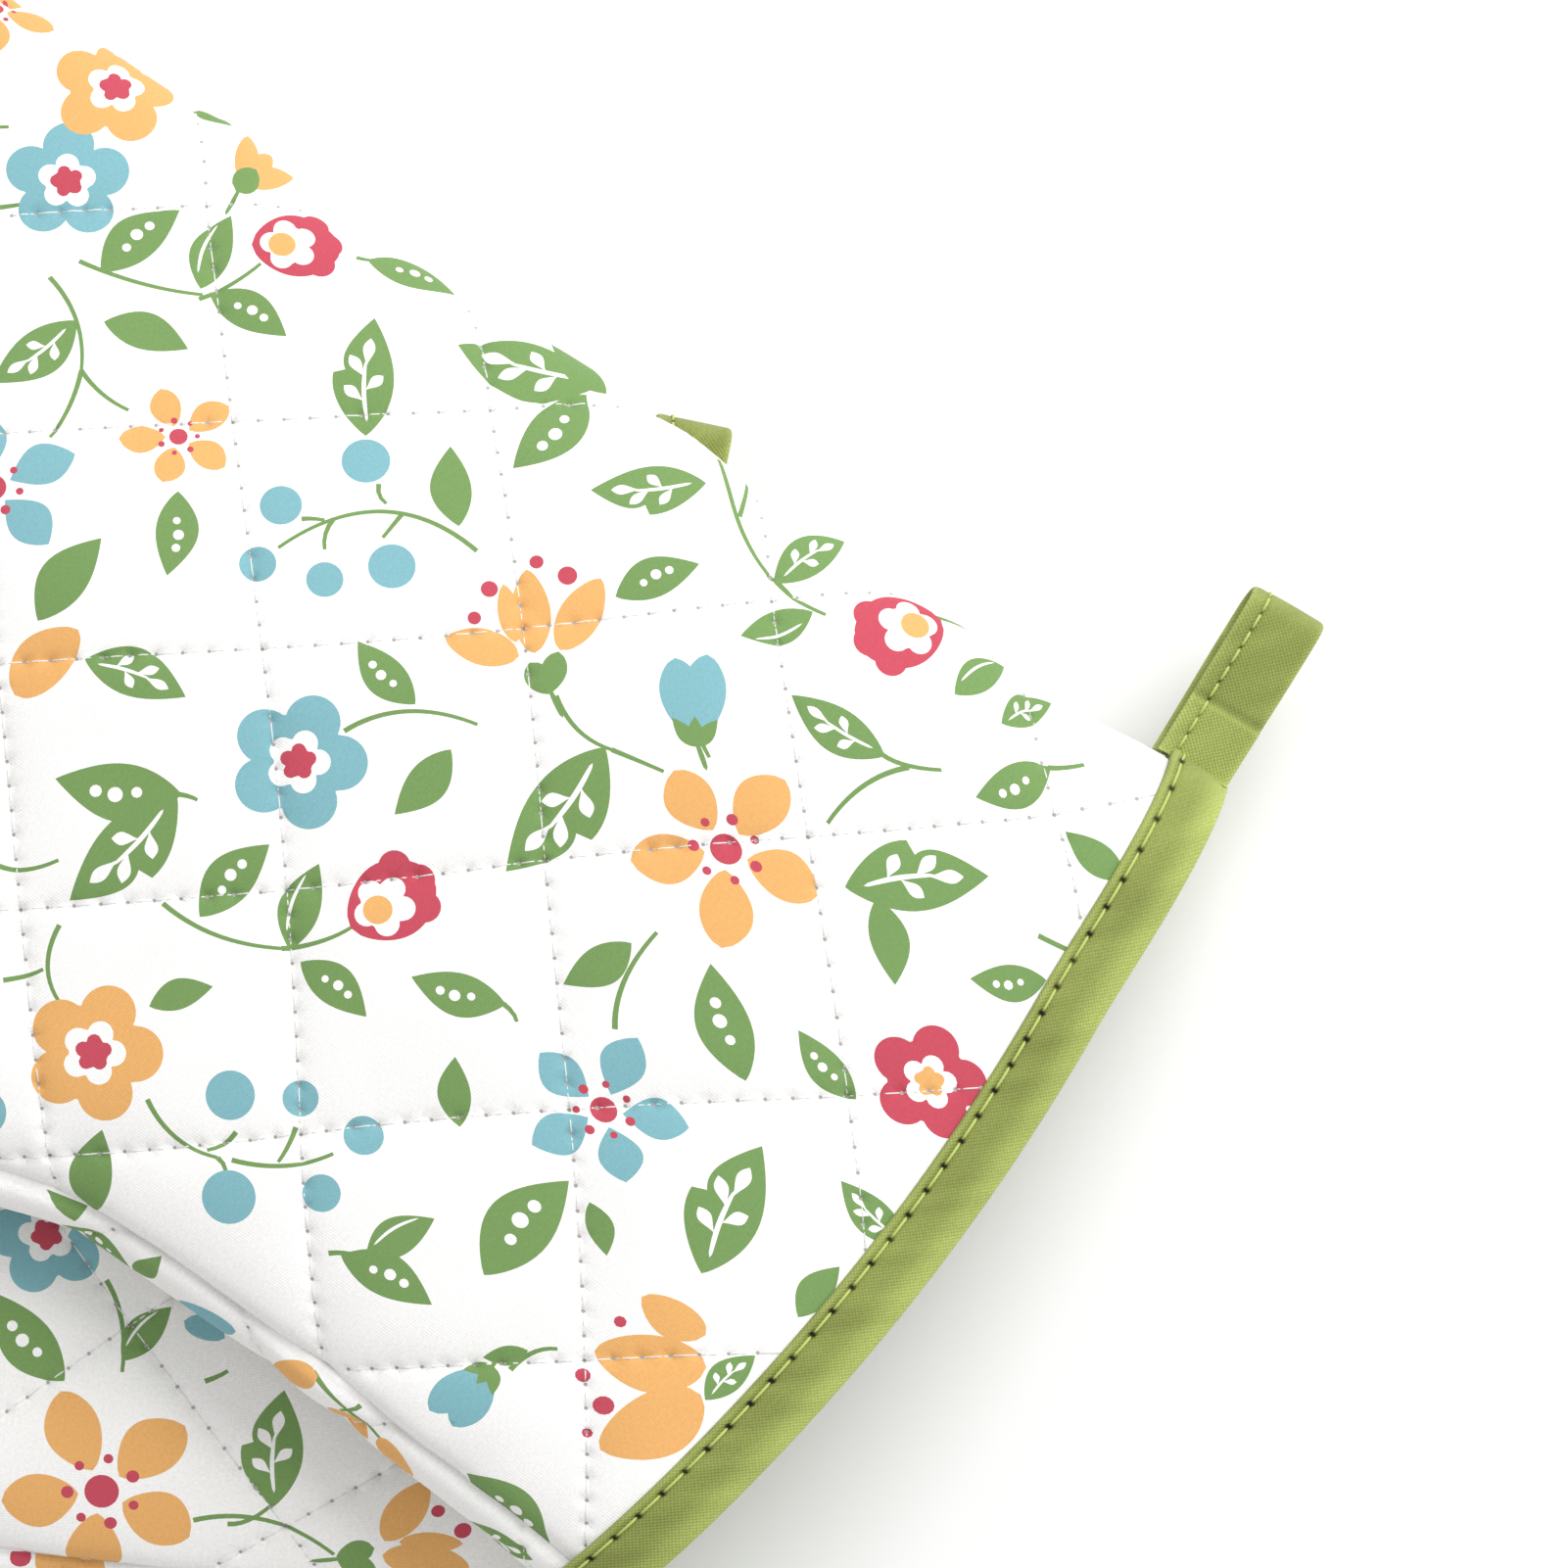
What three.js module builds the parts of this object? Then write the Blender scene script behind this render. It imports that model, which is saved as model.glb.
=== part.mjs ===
// A pair of quilted cotton oven mitts, lying one on the other and fanned apart at the near cuff corner.
// Millimetres, +Z up, fingertips towards +Y, cuffs towards -Y, standing on z = 0.
//
// Each mitt has four sewn pieces: a top panel, an under panel, a bias binding folded over the cuff's edge
// and a hanging loop of the same tape. A mitt is drawn in its own coordinates: u across, with the thumb
// on the negative side, and w along, from the cuff's edge to the fingertips.
import * as THREE from "three";

// Driving dimensions
const CUFF_WIDTH = 160; // across the flat cuff, seam to seam
const CUFF_BOW = 9; // how far the middle of the cuff's edge stands out past its corners
const CUFF_LIP = 2; // how far the top edge of the mouth overhangs its middle
const HALF_CUFF = 11; // half the mitt's thickness at the cuff
const HALF_BODY = 12.5; // half its thickness over the hand
const CROWN = 2.5; // how far the back of the hand swells above that
const SHOULDER = 26; // width of the rounded side next to a seam
const WALL_CUFF = 2.8; // quilted cloth where the binding presses it
const WALL_BODY = 4; // quilted cloth elsewhere
const PRESS = 0.8; // how much the lower mitt's pillows flatten on the surface
const GAP = 0.5; // between pieces that are sewn together
const SEAM_GAP = 0.4; // between the two panels at their seam, upright
const FAN = 29.5; // angle between the two mitts, in degrees
const LOWER_SHIFT = new THREE.Vector2(-4.1, 3.8); // from the upper mitt's near corner to the lower one's

// Where along the mitt the shape of the cuff has passed into the hand's
const FULL_BODY = 80; // thickness, and the bow of the cuff's edge
const FULL_WALL = 30; // thickness of the cloth
const FULL_QUILT = 26; // depth of the stitch lines
const PRESSED = [30, 50]; // where the pillows begin to be pressed flat
const CROWNED = [15, 70]; // distance from a seam over which the back swells
const MIDDLE = new THREE.Vector2(0, 150); // middle of the hand

// Quilting: square pillows between two families of stitch lines
const QUILT = 39; // pitch of the stitch lines
const QUILT_TURN = THREE.MathUtils.degToRad(48.4); // angle of the first family across the mitt
const QUILT_DEPTH = 2.2; // how deep a stitch line draws the cloth in
const OUTER_CELLS = 4; // mesh cells along a pillow, outside
const INNER_CELLS = 2; // and inside

// Binding and loop
const BINDING_WIDTH = 10; // how far each leg reaches up the panel
const BINDING_SHEET = 1; // folded bias tape
const BOUND = BINDING_WIDTH + 1.5; // the panels stay level up to here
const LOOP_WIDTH = 12; // tape of the hanging loop
const LOOP_RISE = 3.7; // half its height near the turned end
const LOOP_TURN = 3; // length of the turn
const LOOP_SHEET = 1.2; // tape folded lengthwise
const LOOP_LAP = 11; // how far the binding's tail laps onto the loop
const LOOP_LAP_SHEET = 0.7; // and how much that adds
const LOOP_SKEW = 1.5; // how far the under leg lies towards the fingertips

// Outline from the near cuff corner, round the thumb and the fingers, to the far cuff corner
const OUTLINE = [
  // [across, along]
  [-80, 0], // near cuff corner
  [-79, 50],
  [-80, 100],
  [-94, 142], // root of the thumb
  [-107, 182],
  [-104, 211],
  [-87, 225], // thumb tip
  [-68, 215],
  [-57, 193],
  [-48, 181], // crotch
  [-43, 197],
  [-46, 240],
  [-35, 282],
  [-8, 307],
  [22, 311], // fingertips
  [55, 292],
  [74, 250],
  [80, 190],
  [80, 100],
  [80, 0], // far cuff corner
];

// How the upper mitt lies over the lower one: its seat is level with the lower mitt's back, and falls
// away past the lower mitt's cuff and past its far side
const SEAT_CUFF = 26.2;
const SEAT_BODY = 27.5;
const SEAT_RISES = [0, 80]; // along the lower mitt, from its cuff
const FALLS_ACROSS = [56, 164]; // across the lower mitt
const FALLS_BEHIND = [-115, -4]; // along it, behind its cuff

// Where the near cuff corners meet, in the pair's frame
const CORNER = new THREE.Vector2(-65.56, -140.32);

const SEAM_STEPS = 82; // places along the outline
const BEND_STEPS = 400; // fine steps that measure how it bends
const BEND_REACH = 14; // length of straight seam that counts as much as a bend of one radian
const ROWS = 4; // strips of the rounded side
const ROW_END = THREE.MathUtils.degToRad(51); // how far round the rows go
const CUFF_STEPS = 14; // places across the mouth between the rows
const CLEAR = 4.5; // between the rows and the first pillow cell
const STRAIGHT = 1e-6; // a run of points that bends less than this is straight
const HAIR = 1e-6; // its bow, for each step from its ends

// The seam is rolled up on the thumb's side, and level on the far side
const SEAM_ROLL = THREE.MathUtils.degToRad(32);
const ROLL_FADES = [190, 330]; // round the outline from the near corner

const smooth = (x, low, high) => THREE.MathUtils.smoothstep(x, low, high);
const halfThickness = (w) => THREE.MathUtils.lerp(HALF_CUFF, HALF_BODY, smooth(w, BOUND, FULL_BODY));
const wallThickness = (w) => THREE.MathUtils.lerp(WALL_CUFF, WALL_BODY, smooth(w, BOUND, FULL_WALL));

const side = new THREE.SplineCurve(OUTLINE.map(([u, w]) => new THREE.Vector2(u, w)));
side.arcLengthDivisions = 1500;
const sideLength = side.getLength();

// Dense points of the outline, run on past the cuff, for distances
const sidePoints = side.getSpacedPoints(360);
sidePoints.unshift(sidePoints[0].clone().setY(-30));
sidePoints.push(sidePoints.at(-1).clone().setY(-30));

// Distance from (u, w) to the side seams
function sideDistance(u, w) {
  let best = Infinity;
  for (let i = 1; i < sidePoints.length; i++) {
    const a = sidePoints[i - 1];
    const b = sidePoints[i];
    const dx = b.x - a.x;
    const dy = b.y - a.y;
    const t = THREE.MathUtils.clamp(((u - a.x) * dx + (w - a.y) * dy) / (dx * dx + dy * dy), 0, 1);
    best = Math.min(best, Math.hypot(u - a.x - t * dx, w - a.y - t * dy));
  }
  return best;
}

// How far round the outline a share of the seam steps reaches: the steps are shorter where it bends
const bendSum = [0];
for (let i = 1; i <= BEND_STEPS; i++) {
  const [a, b] = [i - 1, i].map((n) => side.getTangentAt(n / BEND_STEPS));
  bendSum.push(bendSum.at(-1) + sideLength / BEND_STEPS + BEND_REACH * Math.acos(Math.min(1, a.dot(b))));
}
function reachOf(share) {
  const sum = share * bendSum.at(-1);
  const n = Math.max(1, bendSum.findIndex((s) => s >= sum));
  const part = (sum - bendSum[n - 1]) / (bendSum[n] - bendSum[n - 1]);
  return ((n - 1 + part) * sideLength) / BEND_STEPS;
}

// Places along the outline: {u, w, nu, nw, roll}, with the direction that points into the mitt. The first
// two and the last two lie under the binding and point straight across.
const seams = Array.from({ length: SEAM_STEPS + 1 }, (_, i) => {
  const share = THREE.MathUtils.clamp((i - 1) / (SEAM_STEPS - 2), 0, 1);
  const free = reachOf(share) / sideLength;
  let reach = BOUND + free * (sideLength - 2 * BOUND);
  if (i === 0) reach = 0;
  if (i === SEAM_STEPS) reach = sideLength;
  const at = reach / sideLength;
  const p = side.getPointAt(at);
  const t = side.getTangentAt(at);
  if (i < 2 || i > SEAM_STEPS - 2) t.set(0, Math.sign(t.y));
  return { u: p.x, w: p.y, nu: t.y, nw: -t.x, roll: SEAM_ROLL * (1 - smooth(reach, ...ROLL_FADES)) };
});

// How deep the stitch lines draw the cloth in at (u, w)
const across = new THREE.Vector2(Math.sin(QUILT_TURN), Math.cos(QUILT_TURN));
const along = new THREE.Vector2(-Math.cos(QUILT_TURN), Math.sin(QUILT_TURN));
function quiltSink(mitt, u, w) {
  const a = (u * across.x + w * across.y - mitt.phase.x) / QUILT;
  const b = (u * along.x + w * along.y - mitt.phase.y) / QUILT;
  const pillow = Math.sqrt(Math.abs(Math.sin(Math.PI * a) * Math.sin(Math.PI * b)));
  return QUILT_DEPTH * (1 - pillow) * smooth(w, BOUND, FULL_QUILT);
}

// Height above the surface at which the middle of a lying mitt runs
const bindingStand = GAP + BINDING_SHEET;
const lyingMiddle = (w) => halfThickness(w) + bindingStand * (1 - smooth(w, BOUND, FULL_WALL));

// From the pair's frame into the lower mitt's, for the seat of the upper one
const halfCuff = CUFF_WIDTH / 2;
const halfFan = THREE.MathUtils.degToRad(FAN / 2);
function toLower(x, y) {
  const dx = x - CORNER.x;
  const dy = y - CORNER.y;
  const u = dx * Math.cos(halfFan) + dy * Math.sin(halfFan) - halfCuff - LOWER_SHIFT.x;
  const w = dy * Math.cos(halfFan) - dx * Math.sin(halfFan) - LOWER_SHIFT.y;
  return { u, w };
}

function seat(x, y) {
  const { u, w } = toLower(x, y);
  const top = THREE.MathUtils.lerp(SEAT_CUFF, SEAT_BODY, smooth(w, ...SEAT_RISES));
  return top * (1 - smooth(u, ...FALLS_ACROSS)) * smooth(w, ...FALLS_BEHIND);
}

// The two mitts: how each is turned, shifted and held up, where its stitch lines start, and how far its
// loop reaches past the cuff's corner and leans towards the fingertips
const mitts = [
  {
    name: "lower_mitt",
    turn: halfFan,
    shift: LOWER_SHIFT,
    lift: () => 0,
    press: PRESS,
    phase: new THREE.Vector2(21.6, 1.2),
    loopReach: 34.5,
    loopLean: THREE.MathUtils.degToRad(-6),
  },
  {
    name: "upper_mitt",
    turn: -halfFan,
    shift: new THREE.Vector2(0, 0),
    lift: seat,
    press: 0,
    phase: new THREE.Vector2(18.4, 12.1),
    loopReach: 35,
    loopLean: THREE.MathUtils.degToRad(2),
  },
];

// A mitt's (u, w) with a height above its middle, as a point of the pair
function place(mitt, u, w, height) {
  const near = 1 - smooth(w, 0, FULL_BODY);
  const bow = CUFF_BOW * (1 - (u / halfCuff) ** 2) * near;
  const lip = (CUFF_LIP * height * near) / HALF_CUFF;
  const du = u + halfCuff + mitt.shift.x;
  const dv = w - Math.max(bow, 0) - lip + mitt.shift.y;
  const x = CORNER.x + du * Math.cos(mitt.turn) - dv * Math.sin(mitt.turn);
  const y = CORNER.y + du * Math.sin(mitt.turn) + dv * Math.cos(mitt.turn);
  return new THREE.Vector3(x, y, Math.max(0, lyingMiddle(w) + mitt.lift(x, y) + height));
}

// The half axes of a layer's rounded side, above or below the widest place: the outside follows the
// quilting, the inside is one wall in
function halfAxes(mitt, layer, below, u, w) {
  const inset = layer === "outer" ? quiltSink(mitt, u, w) : wallThickness(w);
  const press = below && layer === "outer" ? mitt.press * smooth(w, ...PRESSED) : 0;
  return { a: SHOULDER - inset, b: halfThickness(w) - inset + press };
}

// A point of the rounded side, at an angle round it from the widest place
function shoulderPoint(mitt, layer, seam, angle) {
  const { a, b } = halfAxes(mitt, layer, angle < 0, seam.u, seam.w);
  const inward = SHOULDER - a * Math.cos(angle);
  const u = seam.u + seam.nu * inward;
  const w = seam.w + seam.nw * inward;
  return { u, w, height: b * Math.sin(angle) };
}

// The height of a layer at (u, w), away from the rounded side's rows
function layerHeight(mitt, layer, sign, u, w) {
  const { a, b } = halfAxes(mitt, layer, sign < 0, u, w);
  const d = sideDistance(u, w);
  const c = Math.max(0, SHOULDER - d) / a;
  const crown = sign > 0 ? CROWN * smooth(d, ...CROWNED) * smooth(w, BOUND, FULL_BODY) : 0;
  return sign * b * Math.sqrt(Math.max(0, 1 - c * c)) + crown;
}

// Is (u, w) inside the outline?
function insideOutline(u, w) {
  let inside = false;
  for (let i = 0, j = sidePoints.length - 1; i < sidePoints.length; j = i++) {
    const a = sidePoints[i];
    const b = sidePoints[j];
    if (a.y > w !== b.y > w && u < ((b.x - a.x) * (w - a.y)) / (b.y - a.y) + a.x) inside = !inside;
  }
  return inside;
}

// The cells of the quilting grid that lie well inside the outline, in one patch without pinched corners.
// Returns their grid corners as {u, w} and each cell's four corner numbers.
function quiltCells(mitt, perPillow) {
  const step = QUILT / perPillow;
  const reach = Math.ceil((2 * sideLength) / QUILT);
  const spot = (i, j) => ({
    u: across.x * (mitt.phase.x + i * step) + along.x * (mitt.phase.y + j * step),
    w: across.y * (mitt.phase.x + i * step) + along.y * (mitt.phase.y + j * step),
  });
  const inward = SHOULDER * (1 - Math.cos(ROW_END)) + CLEAR;
  const good = new Map();
  for (let i = -reach; i <= reach; i++) {
    for (let j = -reach; j <= reach; j++) {
      const { u, w } = spot(i, j);
      if (w < BOUND + CLEAR || !insideOutline(u, w)) continue;
      if (sideDistance(u, w) > inward) good.set(`${i},${j}`, spot(i, j));
    }
  }
  const has = (i, j) => good.has(`${i},${j}`);
  const whole = (i, j) => has(i, j) && has(i + 1, j) && has(i, j + 1) && has(i + 1, j + 1);
  // Spread from a cell at the middle of the hand
  const kept = new Set();
  const start = [...good.keys()].map((k) => k.split(",").map(Number));
  const far = ([i, j]) => Math.hypot(spot(i, j).u - MIDDLE.x, spot(i, j).w - MIDDLE.y);
  const queue = [start.filter(([i, j]) => whole(i, j)).sort((p, q) => far(p) - far(q))[0]];
  while (queue.length) {
    const [i, j] = queue.pop();
    if (kept.has(`${i},${j}`) || !whole(i, j)) continue;
    kept.add(`${i},${j}`);
    queue.push([i + 1, j], [i - 1, j], [i, j + 1], [i, j - 1]);
  }
  // Drop a cell where two meet at a corner alone
  const cell = (i, j) => kept.has(`${i},${j}`);
  for (let again = true; again; ) {
    again = false;
    for (const key of good.keys()) {
      const [i, j] = key.split(",").map(Number);
      const [a, b, c, d] = [cell(i, j), cell(i - 1, j), cell(i - 1, j - 1), cell(i, j - 1)];
      if (a && c && !b && !d) again = kept.delete(`${i},${j}`);
      if (b && d && !a && !c) again = kept.delete(`${i - 1},${j}`);
    }
  }
  const corners = [];
  const number = new Map();
  const use = (i, j) => {
    const key = `${i},${j}`;
    if (!number.has(key)) {
      number.set(key, corners.length);
      corners.push(spot(i, j));
    }
    return number.get(key);
  };
  const cells = [...kept].map((key) => {
    const [i, j] = key.split(",").map(Number);
    const mod = (n) => ((n % perPillow) + perPillow) % perPillow;
    const half = perPillow / 2;
    const turned = mod(i) < half !== mod(j) < half; // the diagonal points at the pillow's middle
    return { at: [use(i, j), use(i + 1, j), use(i + 1, j + 1), use(i, j + 1)], turned };
  });
  return { corners, cells };
}

// The outer loop of a patch of cells, as corner numbers, anticlockwise
function patchLoop(cells) {
  const next = new Map();
  const edges = new Set(cells.flatMap(({ at }) => at.map((a, k) => `${a},${at[(k + 1) % 4]}`)));
  for (const edge of edges) {
    const [a, b] = edge.split(",").map(Number);
    if (!edges.has(`${b},${a}`)) next.set(a, b);
  }
  const first = next.keys().next().value;
  const loop = [first];
  while (next.get(loop.at(-1)) !== first) loop.push(next.get(loop.at(-1)));
  return loop;
}

// Flat points of a loop, with each straight run bowed a hair to its right, so that no triangle of the
// band beside it has three corners in line
function bowedRuns(loop) {
  const at = (n) => loop[(n + loop.length) % loop.length];
  const bend = (n) => {
    const [p, q, r] = [at(n - 1), at(n), at(n + 1)];
    return (q.u - p.u) * (r.w - q.w) - (q.w - p.w) * (r.u - q.u);
  };
  const straight = (n) => Math.abs(bend(n)) < STRAIGHT;
  return loop.map((p, n) => {
    let before = 0;
    let after = 0;
    while (straight(n - before)) before++;
    while (straight(n + after)) after++;
    const hair = HAIR * before * after;
    const [q, r] = [at(n - 1), at(n + 1)];
    return new THREE.Vector2(p.u + (r.w - q.w) * hair, p.w - (r.u - q.u) * hair);
  });
}

const crossed = (p, q, r) => (q.x - p.x) * (r.y - p.y) - (q.y - p.y) * (r.x - p.x);

// The angle at p between q and r
function corner(p, q, r) {
  const dot = (q.x - p.x) * (r.x - p.x) + (q.y - p.y) * (r.y - p.y);
  return Math.atan2(Math.abs(crossed(p, q, r)), dot);
}

// Fills the flat band between a loop and a hole with evenly shaped triangles, all anticlockwise
function fillBand(contour, hole) {
  const at = [...contour, ...hole];
  const faces = THREE.ShapeUtils.triangulateShape(contour, [hole]);
  const area = faces.reduce((sum, [a, b, c]) => sum + crossed(at[a], at[b], at[c]), 0);
  if (area < 0) faces.forEach((face) => face.reverse());
  // Turn each shared edge that has wide corners on both sides
  for (let again = true; again; ) {
    again = false;
    const owner = new Map(faces.flatMap((face, n) => face.map((a, k) => [`${a},${face[(k + 1) % 3]}`, n])));
    const turned = new Set();
    for (const [key, n] of owner) {
      const [a, b] = key.split(",").map(Number);
      const m = owner.get(`${b},${a}`);
      if (m === undefined || turned.has(n) || turned.has(m)) continue;
      const c = faces[n].find((v) => v !== a && v !== b);
      const d = faces[m].find((v) => v !== a && v !== b);
      if (corner(at[c], at[a], at[b]) + corner(at[d], at[a], at[b]) <= Math.PI + STRAIGHT) continue;
      faces[n] = [a, d, c];
      faces[m] = [d, b, c];
      turned.add(n).add(m);
      again = true;
    }
  }
  return faces;
}

// One layer of a panel: its points, its triangles seen from above, and its rim, which runs along the
// cuff and back round the seam
function layerSheet(mitt, layer, sign) {
  const points = [];
  const triangles = [];
  const put = (p) => points.push(p) - 1;
  const quad = (a, b, c, d) => triangles.push([a, b, c], [a, c, d]);

  const rows = Array.from({ length: ROWS + 1 }, (_, k) =>
    seams.map((seam) => {
      const angle = seam.roll + ((sign * ROW_END - seam.roll) * k) / ROWS;
      const p = shoulderPoint(mitt, layer, seam, angle);
      return put({ ...p, height: p.height + (k === 0 ? (sign * SEAM_GAP) / 2 : 0) });
    }),
  );
  for (let k = 0; k < ROWS; k++) {
    for (let i = 0; i < SEAM_STEPS; i++) {
      quad(rows[k][i], rows[k + 1][i], rows[k + 1][i + 1], rows[k][i + 1]);
    }
  }

  const raise = ({ u, w }) => put({ u, w, height: layerHeight(mitt, layer, sign, u, w) });
  const inner = rows[ROWS];
  const strip = [0, 1].map((step) => {
    const near = inner[step];
    const far = inner[SEAM_STEPS - step];
    return Array.from({ length: CUFF_STEPS + 1 }, (_, j) => {
      if (j === 0) return near;
      if (j === CUFF_STEPS) return far;
      const u = THREE.MathUtils.lerp(points[near].u, points[far].u, j / CUFF_STEPS);
      return raise({ u, w: points[near].w });
    });
  });
  for (let j = 0; j < CUFF_STEPS; j++) quad(strip[0][j], strip[0][j + 1], strip[1][j + 1], strip[1][j]);

  const { corners, cells } = quiltCells(mitt, layer === "outer" ? OUTER_CELLS : INNER_CELLS);
  const grid = corners.map(raise);
  for (const { at, turned } of cells) {
    const [a, b, c, d] = at.map((n) => grid[n]);
    if (turned) quad(b, c, d, a);
    else quad(a, b, c, d);
  }

  // The band between the rows and the cells
  const contour = [...inner.slice(1, SEAM_STEPS), ...strip[1].slice(1, CUFF_STEPS).reverse()];
  const hole = patchLoop(cells).map((n) => grid[n]);
  const flat = (loop) => bowedRuns(loop.map((n) => points[n]));
  const all = [...contour, ...hole];
  const band = fillBand(flat(contour), flat(hole));
  triangles.push(...band.map((face) => face.map((n) => all[n])));

  // Round the mouth: the point at the cuff's edge and the next one along the mitt
  const mouth = [
    ...rows.map((row) => [row[0], row[1]]),
    ...strip[0].slice(1, CUFF_STEPS).map((n, j) => [n, strip[1][j + 1]]),
    ...rows.map((row) => [row[SEAM_STEPS], row[SEAM_STEPS - 1]]).reverse(),
  ];
  const rim = [...mouth.map(([edge]) => edge), ...rows[0].slice(1, SEAM_STEPS).reverse()];
  return { points, triangles, rim, mouth };
}

// A closed geometry from points and triangles
function geometryOf(points, triangles) {
  const geometry = new THREE.BufferGeometry();
  const position = points.flatMap((p) => [p.x, p.y, p.z]);
  geometry.setAttribute("position", new THREE.Float32BufferAttribute(position, 3));
  geometry.setIndex(triangles.flat());
  geometry.computeVertexNormals();
  return geometry;
}

// A panel: its outer and inner layers, joined round the rim
function panel(mitt, sign) {
  const outer = layerSheet(mitt, "outer", sign);
  const inner = layerSheet(mitt, "inner", sign);
  const count = outer.points.length;
  const flipped = inner.triangles.map(([a, b, c]) => [a + count, c + count, b + count]);
  const triangles = [...outer.triangles, ...flipped];
  outer.rim.forEach((a, n) => {
    const m = (n + 1) % outer.rim.length;
    const b = outer.rim[m];
    const [c, d] = [inner.rim[n] + count, inner.rim[m] + count];
    triangles.push([b, a, c], [b, c, d]);
  });
  if (sign < 0) triangles.forEach((t) => t.reverse());
  const points = [...outer.points, ...inner.points].map((p) => place(mitt, p.u, p.w, p.height));
  return { geometry: geometryOf(points, triangles), outer, inner };
}

// The cuff's binding: a U section swept round the mouth, one leg outside and one inside, that follows
// the panels along its width
function binding(mitt, top, under) {
  const mean = (p, q, t) => ({
    u: THREE.MathUtils.lerp(p.u, q.u, t),
    height: THREE.MathUtils.lerp(p.height, q.height, t),
  });
  // A place round the mouth: the outer and inner faces at the cuff's edge and at the binding's
  const ends = ({ points, mouth }) =>
    mouth.map((pair) => {
      const [edge, next] = pair.map((n) => points[n]);
      return [edge, mean(edge, next, BINDING_WIDTH / BOUND)];
    });
  const places = ({ outer, inner }) => {
    const within = ends(inner);
    return ends(outer).map((o, n) => [o, within[n]]);
  };
  const stations = [...places(top), ...places(under).reverse()];

  const stand = GAP + BINDING_SHEET;
  const soft = 0.4; // how much shorter the outer corner of a leg's end is
  const points = [];
  for (const [o, i] of stations) {
    const out = new THREE.Vector2(o[0].u - i[0].u, o[0].height - i[0].height).normalize();
    // [face at the cuff's or the binding's edge, how far out from it, place along the mitt]
    const section = [
      [o[1], GAP, BINDING_WIDTH],
      [o[1], stand, BINDING_WIDTH - soft],
      [o[0], stand, -GAP],
      [o[0], GAP, -stand],
      [i[0], -GAP, -stand],
      [i[0], -stand, -GAP],
      [i[1], -stand, BINDING_WIDTH - soft],
      [i[1], -GAP, BINDING_WIDTH],
      [i[0], -GAP, -GAP],
      [o[0], GAP, -GAP],
    ];
    for (const [face, off, w] of section) {
      points.push(place(mitt, face.u + out.x * off, w, face.height + out.y * off));
    }
  }
  const ring = 10;
  const triangles = [];
  stations.forEach((_, s) => {
    const t = (s + 1) % stations.length;
    for (let k = 0; k < ring; k++) {
      const m = (k + 1) % ring;
      triangles.push([s * ring + k, t * ring + m, t * ring + k], [s * ring + k, s * ring + m, t * ring + m]);
    }
  });
  return geometryOf(points, triangles);
}

// The hanging loop: tape that runs out level from the far cuff corner, turns back and returns beneath
// itself
function loop(mitt) {
  const leanIn = Math.max(0, LOOP_WIDTH * Math.sin(mitt.loopLean)); // how far its inner corner leans back
  const root = halfCuff + GAP * 2 + BINDING_SHEET + leanIn;
  const tip = halfCuff + mitt.loopReach - LOOP_SHEET / 2;
  const start = LOOP_SHEET / 2 + GAP;
  const leg = new THREE.CubicBezierCurve(
    new THREE.Vector2(root, start),
    new THREE.Vector2(root + 9, start + 0.4),
    new THREE.Vector2(tip - 12, LOOP_RISE + 0.6),
    new THREE.Vector2(tip - LOOP_TURN, LOOP_RISE),
  );
  const laps = LOOP_LAP / (tip - root);
  const even = [...Array(10).keys()].map((n) => n / 9);
  const step = [laps - 0.01, laps + 0.01]; // either side of the lap's end
  const cuts = [...even, ...step].sort((s, t) => s - t);
  const path = cuts.map((t) => {
    const p = leg.getPoint(t);
    const d = leg.getTangent(t);
    return { u: p.x, height: p.y, du: d.x, dh: d.y, lap: t < laps ? LOOP_LAP_SHEET : 0 };
  });
  const bends = 6;
  const end = path.at(-1);
  for (let n = 1; n < bends; n++) {
    const angle = Math.PI / 2 - (Math.PI * n) / bends;
    path.push({
      u: end.u + LOOP_TURN * Math.cos(angle),
      height: LOOP_RISE * Math.sin(angle),
      du: Math.sin(angle),
      dh: -Math.cos(angle),
      lap: 0,
    });
  }
  for (const t of even.toReversed()) {
    const p = leg.getPoint(t);
    const d = leg.getTangent(t);
    path.push({ u: p.x, height: -p.y, du: -d.x, dh: d.y, lap: 0 });
  }
  const level = place(mitt, root, LOOP_WIDTH / 2, 0).z;
  const points = [];
  path.forEach(({ u, height, du, dh, lap }, n) => {
    const skew = (LOOP_SKEW * n) / (path.length - 1);
    const half = LOOP_SHEET / 2;
    for (const [off, w] of [
      [-half, 0],
      [half + lap, 0],
      [half + lap, LOOP_WIDTH],
      [-half, LOOP_WIDTH],
    ]) {
      const rise = height + du * off;
      const at = new THREE.Vector2(u - dh * off - root, w + skew);
      at.rotateAround(new THREE.Vector2(), mitt.loopLean);
      points.push(place(mitt, root + at.x, at.y, rise).setZ(level + rise));
    }
  });
  const triangles = [
    [0, 1, 2],
    [0, 2, 3],
  ];
  for (let s = 0; s < path.length - 1; s++) {
    for (let k = 0; k < 4; k++) {
      const m = (k + 1) % 4;
      const [a, b, c, d] = [s * 4 + k, (s + 1) * 4 + k, (s + 1) * 4 + m, s * 4 + m];
      triangles.push([a, b, c], [a, c, d]);
    }
  }
  const e = (path.length - 1) * 4;
  triangles.push([e, e + 2, e + 1], [e, e + 3, e + 2]);
  return geometryOf(points, triangles);
}

// Materials
const printedCotton = { color: 0xf6f4ef, roughness: 0.92, metalness: 0 };
const greenTape = { color: 0x9fb04f, roughness: 0.85, metalness: 0 };

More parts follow.
